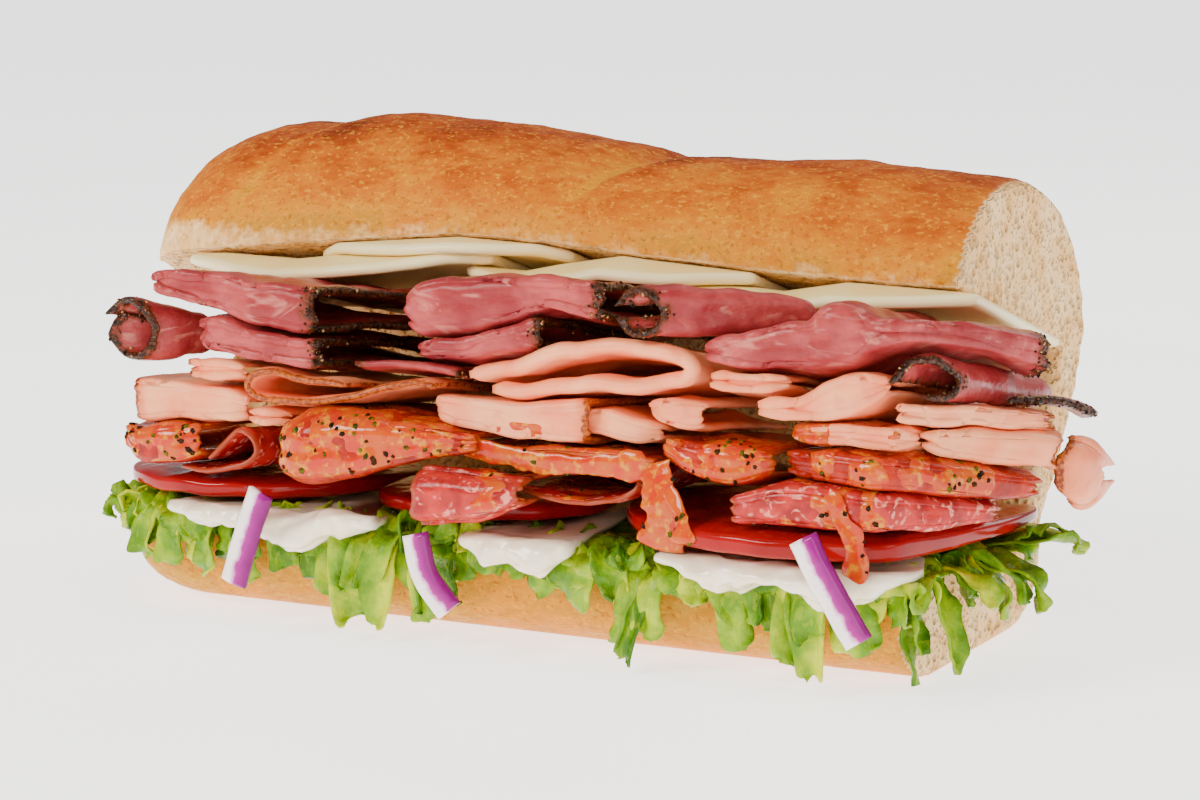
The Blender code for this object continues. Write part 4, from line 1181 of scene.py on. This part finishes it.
def dressing():
    """The dressing on the sausage and under the ham, its herbs, and where it ran down the tomato."""
    finish = oily_dressing()
    rng = random.Random(3)
    meshes, spots = [], []
    for source, strength, box in DRESSED:
        points, normal, nearest, _ = SURFACES[source]
        facing = (normal * np.array([0.0, -0.8, 0.6])).sum(-1)
        share = rough(points, 5.0, 11.0, 3) + strength
        (x0, x1), (z0, z1) = box
        share = share * ease(points[..., 0], x0 - 3, x0) * ease(-points[..., 0], -x1 - 3, -x1)
        share = share * ease(points[..., 2], z0 - 2, z0) * ease(-points[..., 2], -z1 - 2, -z1)
        share = share * ease(-points[..., 1], 20.0, 27.0) * ease(nearest, 0.2, 1.2)
        for sign in (1, -1):
            deep = np.clip(share, 0, 1) * ease(sign * facing, 0.05, 0.4)
            skin = THICK[source.split("_")[0]] / 2 + 0.02
            height = skin - 0.12 + FILM * np.sqrt(np.clip(deep, 0, 1))
            outer = points + normal * (sign * height)[..., None]
            inner = points + normal * (sign * (skin - 0.25))
            keep = deep > 0.02
            cell = keep[:-1, :-1] | keep[1:, :-1] | keep[:-1, 1:] | keep[1:, 1:]
            if not cell.any():
                continue
            meshes.append(film_mesh(outer, inner, cell, sign))
            wet = np.argwhere(deep > 0.25)
            for r, c in (wet[rng.randrange(len(wet))] for _ in range(int(len(wet) / POINTS_PER_CHIP))):
                spots.append((outer[r, c], normal[r, c] * sign))
    for points, wide, deep in RUNS:
        outer, faces = run_of_dressing(points, wide, deep)
        meshes.append((outer, faces))
        for _ in range(5):
            spots.append((outer[rng.randrange(len(outer) // 4, len(outer))], np.array((0.0, -1.0, 0.1))))
    piece = joined("dressing", meshes)
    hand_over(piece, finish, "pepperoni")
    herbs = {"dark": [], "green": []}
    for spot, up in spots:
        kind = "dark" if rng.random() < 0.6 else "green"
        herbs[kind].append(chip(spot, up, rng))
    for kind, dark, light in (("dark", "#120A04", "#3C2008"), ("green", "#2C2E04", "#5E5E0C")):
        hand_over(joined("herbs_" + kind, herbs[kind]), dried_herb("herb_" + kind, dark, light), "pepperoni")


def run_of_dressing(points, wide, deep):
    """A run of dressing, which swells to a drop at its end."""
    along, around = RUN_STEPS
    t = np.linspace(0, 1, along)
    path, side, out = framed(points, t)
    swollen = 0.8 + 0.45 * np.exp(-(((t - 0.9) / 0.12) ** 2)) + 0.22 * rough(path, 3.0, wide)
    size = wide / 2 * swollen * ease(t, -0.02, 0.1) * ease(1.02 - t, 0.0, 0.07)
    turn = np.linspace(0, 2 * math.pi, around, endpoint=False)
    ring = np.cos(turn)[None, :, None] * side[:, None]
    ring = ring + deep / wide * np.sin(turn)[None, :, None] * out[:, None]
    rings = path[:, None] + ring * size[:, None, None]
    return tube(rings + (side[:, None] * (0.14 * wide * rough(rings, 2.6, 4.0))[..., None]))


def film_mesh(outer, inner, cell, sign):
    """A closed film between two grids of points, over the cells that are kept."""
    used = {}
    points, faces = [], []

    def corner(layer, r, c):
        """The number of a corner of the film, which is made when it is first asked for."""
        key = (layer, r, c)
        if key not in used:
            used[key] = len(points)
            points.append((outer if layer == 0 else inner)[r, c])
        return used[key]

    for r, c in np.argwhere(cell):
        ring = ((r, c), (r, c + 1), (r + 1, c + 1), (r + 1, c))
        top = [corner(0, *at) for at in ring]
        base = [corner(1, *at) for at in ring]
        turned = sign < 0
        faces.append(tuple(reversed(top)) if turned else tuple(top))
        faces.append(tuple(base) if turned else tuple(reversed(base)))
        near = ((r - 1, c), (r, c + 1), (r + 1, c), (r, c - 1))
        for k, (nr, nc) in enumerate(near):
            inside = 0 <= nr < cell.shape[0] and 0 <= nc < cell.shape[1] and cell[nr, nc]
            if not inside:
                a, b = top[k], top[(k + 1) % 4]
                d, e = base[k], base[(k + 1) % 4]
                faces.append((a, b, e, d) if turned else (b, a, d, e))
    return points, faces


def chip(spot, up, rng):
    """A flat chip of herb or pepper, with uneven corners."""
    size = rng.uniform(0.25, 0.62)
    up = np.array(up) / np.linalg.norm(up)
    side = np.cross(up, (rng.uniform(-1, 1), rng.uniform(-1, 1), rng.uniform(-1, 1)))
    side /= np.linalg.norm(side)
    other = np.cross(up, side)
    ring = []
    for k in range(5):
        angle = 2 * math.pi * k / 5
        reach = size * rng.uniform(0.6, 1.2)
        ring.append(side * math.cos(angle) * reach * rng.uniform(1.0, 1.4) + other * math.sin(angle) * reach)
    low = [spot + p - up * 0.08 for p in ring]
    high = [spot + p * 0.8 + up * 0.14 for p in ring]
    faces = [tuple(reversed(range(5))), tuple(range(5, 10))]
    faces += [(k, (k + 1) % 5, 5 + (k + 1) % 5, 5 + k) for k in range(5)]
    return low + high, faces


def cracked_pepper():
    """Cracked peppercorns and roasted crumbs, under a millimetre across, pressed into the beef's rims."""
    rng = random.Random(5)
    shades = {"pepper_black": [], "pepper_tan": []}
    for source, (points, normal, nearest, rim) in SURFACES.items():
        if not source.startswith("beef"):
            continue
        close = np.argwhere((rim < 1.7) & (points[..., 1] < 4.0))
        for _ in range(int(len(close) * PEPPERED)):
            r, c = close[rng.randrange(len(close))]
            sign = rng.choice((-1, 1))
            lift = BEEF / 2 * (0.4 + 0.6 * float(ease(nearest[r, c], 0, 1.3)))
            spot = points[r, c] + normal[r, c] * sign * (lift - 0.05)
            shade = rng.choice(("pepper_black", "pepper_black", "pepper_tan"))
            shades[shade].append(grain_of_pepper(spot, rng))
    for name, dark, light in (("pepper_black", "#120B08", "#3A2418"), ("pepper_tan", "#5A3A20", "#B08A5C")):
        hand_over(joined(name, shades[name]), dried_herb(name, dark, light), "beef")


def grain_of_pepper(spot, rng):
    """A rough lump with eight corners cut from a ball."""
    size = rng.uniform(0.16, 0.42)
    corners = [(1, 0, 0), (0, 1, 0), (-1, 0, 0), (0, -1, 0), (0, 0, 1), (0, 0, -1)]
    points = [np.array(spot) + np.array(c) * size * rng.uniform(0.7, 1.25) for c in corners]
    faces = []
    for k in range(4):
        faces.append((k, (k + 1) % 4, 4))
        faces.append(((k + 1) % 4, k, 5))
    return points, faces


# Shreds along the front: x, height of the tip, lean, width and how far out they hang
SHREDS = (
    (-66.5, 13.2, -1.5, 4.4, 31.9),
    (-61.0, 9.5, -2.0, 5.2, 33.5),
    (-55.0, 8.5, -2.0, 5.4, 34.6),
    (-48.0, 7.5, -1.0, 5.4, 35.0),
    (-41.0, 6.5, -1.5, 5.2, 35.2),
    (-34.5, 10.5, 2.0, 5.4, 34.8),
    (-27.5, 8.0, 1.5, 5.2, 35.4),
    (-20.5, 3.4, 1.0, 5.6, 36.0),
    (-13.5, 2.6, -1.5, 5.2, 36.2),
    (-7.5, 4.2, 2.5, 4.6, 36.2),
    (-0.5, 11.5, 1.5, 5.2, 35.4),
    (6.5, 13.0, -1.0, 5.4, 35.0),
    (13.5, 10.5, 2.5, 5.2, 35.4),
    (20.5, 9.0, 1.5, 5.6, 36.0),
    (27.5, 11.5, 1.5, 5.2, 36.2),
    (34.0, 2.2, -3.5, 4.4, 36.4),
    (40.5, 12.0, 3.0, 5.4, 35.6),
    (47.5, 5.5, 3.0, 5.4, 36.2),
    (54.5, 9.0, 1.0, 5.4, 35.6),
    (61.5, 3.0, 1.0, 5.4, 36.4),
    (68.5, 6.5, 1.5, 5.2, 36.0),
    (75.0, 12.0, 2.0, 4.8, 34.8),
)
# Shreds past the cut end: y, height of the tip, how far they reach and width
END_SHREDS = (
    (-25.0, 3.4, 82.5, 4.5),
    (-17.5, 12.5, 86.0, 6.0),
    (-9.0, 10.5, 90.0, 6.5),
    (3.0, 18.5, 92.0, 7.0),
)

# Beads of mayonnaise: name, the front's y, and (x, low, high, back) along the bead
BEADS = (
    ("mayonnaise_1", -42.0, ((-53, 17.5, 21.0, 0), (-48, 15.8, 20.8, 0), (-42, 17.6, 20.8, 0),
     (-33, 15.4, 20.8, 0), (-27, 13.4, 20.6, 0), (-22, 15.2, 22.2, 0), (-14, 18.0, 22.2, 0))),
    ("mayonnaise_2", -42.0, ((3, 17.5, 20.4, 0), (7, 14.6, 20.4, 0), (12, 16.4, 20.4, 0),
     (17, 13.8, 20.4, 0), (22, 16.5, 20.6, 0))),
    ("mayonnaise_3", -43.0, ((38, 18.0, 20.8, 0), (43, 17.0, 20.8, 0), (50, 14.0, 20.6, 0),
     (57, 16.8, 20.6, 0), (63, 15.5, 20.6, 0), (69, 13.2, 20.6, 0), (74, 15.8, 20.7, 1),
     (79, 18.9, 20.5, 3))),
)
# Round slices of tomato: name, middle, radius, underside and top
TOMATOES = (
    ("tomato_1", -49.6, -12.0, 25.0, 20.7, 24.7),
    ("tomato_2", -3.5, -15.0, 20.0, 20.7, 24.4),
    ("tomato_3", 54.8, -11.0, 32.7, 21.1, 25.9),
)
# Strips of onion that hang over the front: name, and the points they pass through
ONIONS = (
    ("onion_1", ((-31.6, -44.2, 24.6), (-34.5, -44.4, 17.0), (-37.2, -44.2, 9.0))),
    ("onion_2", ((-2.6, -44.2, 20.4), (-0.8, -44.4, 14.0), (3.6, -44.2, 8.6))),
    ("onion_3", ((65.4, -46.3, 26.4), (69.4, -46.6, 19.5), (74.6, -46.2, 11.4))),
)
# Slices of cheese: name, left end, right end, front, and knots of (x, lane)
CHEESES = (
    ("cheese_1", -69.0, -8.0, -18.0, ((-62, 0), (-47, 1))),
    ("cheese_2", -44.0, 5.0, -14.0, ((-44, 0), (5, 0))),
    ("cheese_3", -13.0, 40.0, -18.0, ((-2, 2.14), (7, 1.08), (16, 0))),
    ("cheese_4", 20.0, 78.0, -18.0, ((45, 1.08), (56, 0))),
)

# Slices folded along the front: name, sort, thickness, rows of (x, front, low, high) and legs
FOLDS = (
    ("beef_1", "beef", BEEF, (52, 52), ((-57, -38, 55.4, 59.0), (-52, -38, 54.4, 59.6),
     (-44.2, -38, 53.2, 59.6), (-36.4, -38, 51.1, 58.8), (-25.4, -38, 50.2, 58.6, 52, 52, 15, 15))),
    ("beef_3", "beef", BEEF, (52, 52), ((-48.5, -37, 47.2, 52.0), (-44, -38, 46.2, 52.2),
     (-38, -38, 45.4, 50.6), (-31, -38, 44.8, 49.7), (-24.4, -38, 44.6, 49.7, 52, 52, 5.5, 5.5))),
    ("beef_4", "beef", BEEF, (52, 52), ((-8.5, -38, 51.2, 59.2), (-1.4, -38, 51.6, 61.6),
     (9.4, -38, 54.0, 62.2), (17.5, -38, 56.8, 62.2), (27.1, -38, 55.5, 62.0))),
    ("beef_5", "beef", BEEF, (14, 36), ((-6, -38, 47.3, 50.8), (1, -38, 47.7, 51.2),
     (8, -38, 48.9, 53.1), (16.5, -38, 50.8, 56.0))),
    ("beef_7", "beef", BEEF, (50, 50), ((44.5, -38, 49.9, 54.1), (51.8, -38, 49.8, 55.8),
     (58.4, -38, 49.9, 57.8), (61.8, -39, 50.1, 58.5), (65.4, -40, 50.4, 61.0), (69, -39, 51.3, 61.2),
     (73.7, -38, 54.6, 58.8), (83.2, -38, 55.8, 59.4, 40, 40, -2, -2),
     (92.5, -38, 54.8, 59.0, 24, 24, -6, -6), (99.4, -37, 53.0, 58.2, 12, 12, -6, -6))),
    ("ham_1", "ham", HAM, (50, 50), ((-61.2, -38, 33.0, 41.2), (-51.7, -38, 34.1, 40.9),
     (-44.7, -38, 34.4, 40.4), (-39.3, -38, 34.4, 39.9))),
    ("ham_2", "ham", THIN_HAM, (46, 46), ((-49.3, -38, 41.6, 44.8), (-45, -38, 41.4, 44.9),
     (-39.7, -38, 41.7, 44.8))),
    ("ham_4", "ham", THIN_HAM, (46, 46), ((-38.4, -38, 34.4, 37.6), (-34.5, -38.5, 34.4, 37.5),
     (-31.2, -38, 34.4, 37.3))),
    ("ham_6", "ham", HAM, (50, 50), ((-3.2, -37, 38.0, 42.0), (2.1, -38, 36.9, 42.2),
     (12.9, -38, 35.9, 41.6), (24.5, -38, 35.9, 43.6))),
    ("ham_7", "ham", THIN_HAM, (30, 30), ((17.5, -36, 37.7, 40.3), (24.5, -35.8, 37.7, 41.8),
     (30, -36.5, 36.8, 41.2), (35.4, -35, 36.7, 40.2))),
    ("ham_8", "ham", HAM, (32, 32), ((35, -37, 41.1, 44.1), (38.4, -38, 40.0, 44.4),
     (43.8, -38, 38.6, 45.4))),
    ("ham_9", "ham", THIN_HAM, (50, 50), ((45.4, -37, 45.9, 49.3), (52, -38, 46.1, 49.2),
     (58.0, -37, 46.6, 49.6))),
    ("ham_10", "ham", HAM, (50, 50), ((54, -38, 42.3, 45.6), (60.8, -38, 42.5, 46.2),
     (66, -38.5, 42.9, 49.2), (70.5, -39, 44.5, 50.6), (74.5, -38.5, 47.0, 51.0))),
    ("ham_11", "ham", THIN_HAM, (50, 50), ((76, -37, 43.2, 46.3), (79.3, -38, 43.2, 46.3),
     (88.4, -38, 43.6, 46.7, 30, 30, -4, -4), (100.5, -37, 43.6, 46.6, 12, 12, -7, -7))),
    ("ham_12", "ham", THIN_HAM, (38, 38), ((59.5, -37, 38.9, 42.0), (67.5, -38, 39.2, 42.4),
     (74, -38, 39.0, 42.6), (78.4, -37, 39.1, 42.4))),
    ("ham_13", "ham", HAM, (50, 50), ((80.3, -37.5, 39.2, 42.7),
     (86.6, -38.5, 38.2, 43.1, 36, 36, -2, -2), (96.2, -38.5, 37.9, 43.2, 24, 24, -4, -4),
     (101.5, -38, 37.0, 43.2, 14, 14, -5, -5))),
    ("ham_14", "ham", HAM, (8, 8), ((101.95, -37.4, 32.4, 43.0), (104.2, -36.8, 31.6, 42.4),
     (106.0, -35.4, 32.8, 41.0), (107.0, -33.5, 34.8, 39.2))),
    ("pepperoni_1", "pepperoni", SALAMI, (34, 34), ((-62.9, -37, 29.6, 32.4), (-59, -40, 26.3, 32.5),
     (-51.7, -40, 26.8, 33.6), (-47.6, -39, 28.3, 33.8))),
    ("pepperoni_2", "pepperoni", SALAMI, (36, 36), ((-30.2, -40, 28.8, 34.0), (-28.4, -42.5, 26.6, 36.2),
     (-23, -43.5, 26.2, 37.9), (-14, -43, 28.4, 38.2), (-4, -41, 31.4, 37.2), (5.6, -39, 33.2, 36.2))),
    ("pepperoni_4", "pepperoni", SALAMI, (30, 30), ((38, -37, 34.6, 38.0), (42.6, -38.5, 32.8, 38.0),
     (49, -39, 31.4, 37.8), (56.4, -38, 33.4, 37.4))),
    ("pepperoni_5", "pepperoni", SALAMI, (34, 34), ((58.8, -37, 33.8, 37.8), (68, -40, 33.4, 38.3),
     (80, -40.5, 33.2, 38.0, 30, 30, -2, -2), (90, -40, 32.7, 37.1, 20, 20, -4, -4),
     (98.6, -38.5, 32.8, 36.2, 12, 12, -5, -5))),
    ("salami_2", "salami", SALAMI, (6.6, 6.6), ((-2.7, -45.5, 21.5, 30.6), (7.5, -45, 23.4, 30.4),
     (15.3, -44.5, 26.3, 30.0))),
    ("salami_4", "salami", SALAMI, (38, 38), ((51.6, -42, 26.4, 30.6), (59.5, -42, 26.4, 33.0),
     (69.3, -41.5, 26.4, 32.9), (82.1, -41, 27.4, 32.6, 34, 34, -2, -2),
     (92.5, -40, 28.8, 31.8, 14, 14, -5, -5))),
)

# Slices curled about an axis that runs back: name, sort, thickness, front, the front edge and its steps
STRAIGHT = ((0, 0, 0, 1, 1), (15, 0, 0, 0.98, 0.98), (30, 0, 0, 0.95, 0.95), (45, 0, 0, 0.92, 0.92))
CURLS = (
    ("beef_2", "beef", BEEF, -38.5, arc_path(-61.5, 48.2, 5.2, 5.6, 150, -240, 12, -0.4), ((0, 0, 0, 1, 1),
     (4, 3.5, 0.1, 0.85, 0.85), (8, 6, 0.3, 0.65, 0.65), (12, 7.5, 0.5, 0.5, 0.5))),
    ("beef_6", "beef", BEEF, -39, arc_path(33.9, 57.2, 3.9, 3.5, 165, -165), ((0, 0, 0, 1, 1),
     (6, 8, 1.4, 0.95, 0.95), (11, 15, 2.4, 0.8, 0.8), (16, 21, 3.4, 0.55, 0.55))),
    ("beef_8", "beef", BEEF, -40, ((76.4, 49.4), (78.2, 52.2), (81.4, 53.4), (84.4, 52.3),
     (86.2, 50.2), (85, 48.3), (82, 47.9)), ((0, 0, 0, 1, 1), (12, 1, 0, 0.95, 0.95),
     (24, 2, 0, 0.9, 0.9), (36, 3, 0, 0.85, 0.85))),
    ("beef_9", "beef", BEEF, -30, ((91, 48.2), (95, 48.5), (100, 48.3), (105.5, 46.6)),
     ((0, 0, 0, 1, 1), (5, -1, 0, 0.95, 1), (10, -2.5, 0, 0.85, 1), (14, -4, 0, 0.7, 1))),
    ("beef_10", "beef", BEEF, -38, ((-17.4, 46.0), (-9, 46.3), (-3, 46.0), (1.8, 45.6)), STRAIGHT),
    ("ham_3", "ham", HAM, -39, ((-19.3, 42.4), (-27.9, 42.8), (-34.1, 43.4), (-37.5, 42.2),
     (-37.2, 39.6), (-29.9, 38.8), (-20.3, 40.0), (-11.8, 42.2), (-6.2, 43.6), (-1.9, 43.4)),
     STRAIGHT),
    ("ham_5", "ham", FOLDED_HAM, -38, ((8, 43.6), (14, 44.1), (24.5, 45.9), (32, 46.1), (38.6, 47.0),
     (42.0, 49.3), (38.8, 51.2), (31, 51.8), (25.4, 51.3), (19, 49.9), (13, 48.0), (8, 46.7),
     (4.2, 45.6)), STRAIGHT),
    ("pepperoni_3", "pepperoni", SALAMI, -38, ((7.6, 33.6), (16, 34.1), (26, 34.5), (36.6, 34.2)),
     STRAIGHT),
    ("salami_1", "salami", SALAMI, -38, ((-46, 28.0), (-42.2, 31.8), (-39.6, 33.0), (-37.5, 32),
     (-37.5, 29.6), (-39.9, 27.3), (-44.9, 26.3), (-52, 25.9)), STRAIGHT),
    ("salami_3", "salami", SALAMI, -36.5, ((8.6, 29.2), (14.7, 30.2), (22.4, 31.6), (29.4, 32.7),
     (32.3, 31.9), (32.7, 30.1), (30.6, 28.2), (27.1, 27.0), (23.6, 26.7), (18.3, 26.5), (11.1, 27.4)),
     STRAIGHT),
)


def studio():
    """The camera where the photograph was taken from, a plain pale floor and soft light."""
    data = bpy.data.cameras.new("camera")
    data.sensor_width = 36.0
    data.lens = CAMERA_LENS
    data.clip_start, data.clip_end = 0.01, 20.0
    camera = bpy.data.objects.new("camera", data)
    bpy.context.scene.collection.objects.link(camera)
    turn, rise = (math.radians(a) for a in CAMERA_ANGLES)
    back = Vector((math.sin(turn) * math.cos(rise), -math.cos(turn) * math.cos(rise), math.sin(rise)))
    camera.location = (Vector(CAMERA_AIM) + back * CAMERA_DISTANCE) * MM
    camera.rotation_mode = "QUATERNION"
    camera.rotation_quaternion = back.to_track_quat("Z", "Y")
    bpy.context.scene.camera = camera

    deselect()
    bpy.ops.mesh.primitive_plane_add(size=FLOOR_SIZE, location=(0, 0, FLOOR_HEIGHT))
    floor = bpy.context.object
    floor.name = "floor"
    paper, tree, shader, where = start("white_paper")
    paint(tree, shader, blend(tree, level(tree, grain(tree, where, 60, 2), 0.3, 0.7), "#F4F3F1", "#FAF9F7"))
    dress(shader, rough=0.85, specular=0.2)
    # Lit a little from below, as a light table is
    shader.inputs["Emission Color"].default_value = (1.0, 1.0, 1.0, 1.0)
    shader.inputs["Emission Strength"].default_value = FLOOR_GLOW
    floor.data.materials.append(paper)

    for name, place_, size, power in LIGHTS:
        light = bpy.data.lights.new(name, "AREA")
        light.shape = "RECTANGLE"
        light.size, light.size_y = size
        light.energy = power
        light.color = LIGHT_TINT
        lamp = bpy.data.objects.new(name, light)
        bpy.context.scene.collection.objects.link(lamp)
        lamp.location = place_
        lamp.rotation_mode = "QUATERNION"
        lamp.rotation_quaternion = (Vector(place_) - Vector(LIGHT_AIM)).to_track_quat("Z", "Y")
    world = bpy.data.worlds.new("studio")
    world.use_nodes = True
    sky = world.node_tree.nodes["Background"]
    sky.inputs["Color"].default_value = (1.0, 0.99, 0.97, 1.0)
    sky.inputs["Strength"].default_value = SKY
    bpy.context.scene.world = world


MEATS = {
    "beef": roast_beef(),
    "ham": cooked_ham(),
    "pepperoni": cured_sausage("spicy_sausage", "#B02000", "#8A1000", "#C04C00", 0.04, "#A83C00"),
    "salami": cured_sausage("cured_salami", "#C02A26", "#8E1414", "#F09480", 0.11, "#9A3A20"),
}

roll_of_bread()
for seed, (name, sort, thick, legs, rows) in enumerate(FOLDS):
    stations = folded(rows, thick, legs, SWELL_UP.get(name, SWELL), CLOSE.get(name, 0.0))
    slice_of_meat(name, sort, stations, thick, False, 2.3 * seed + 1)
for seed, (name, sort, thick, front, path, steps) in enumerate(CURLS):
    slice_of_meat(name, sort, looped(path, front, steps), thick, True, 3.1 * seed + 50)
cheese_slices()
tomato_slices()
beads_of_mayonnaise()
strips_of_onion()
heap_of_lettuce()
dressing()
cracked_pepper()
studio()
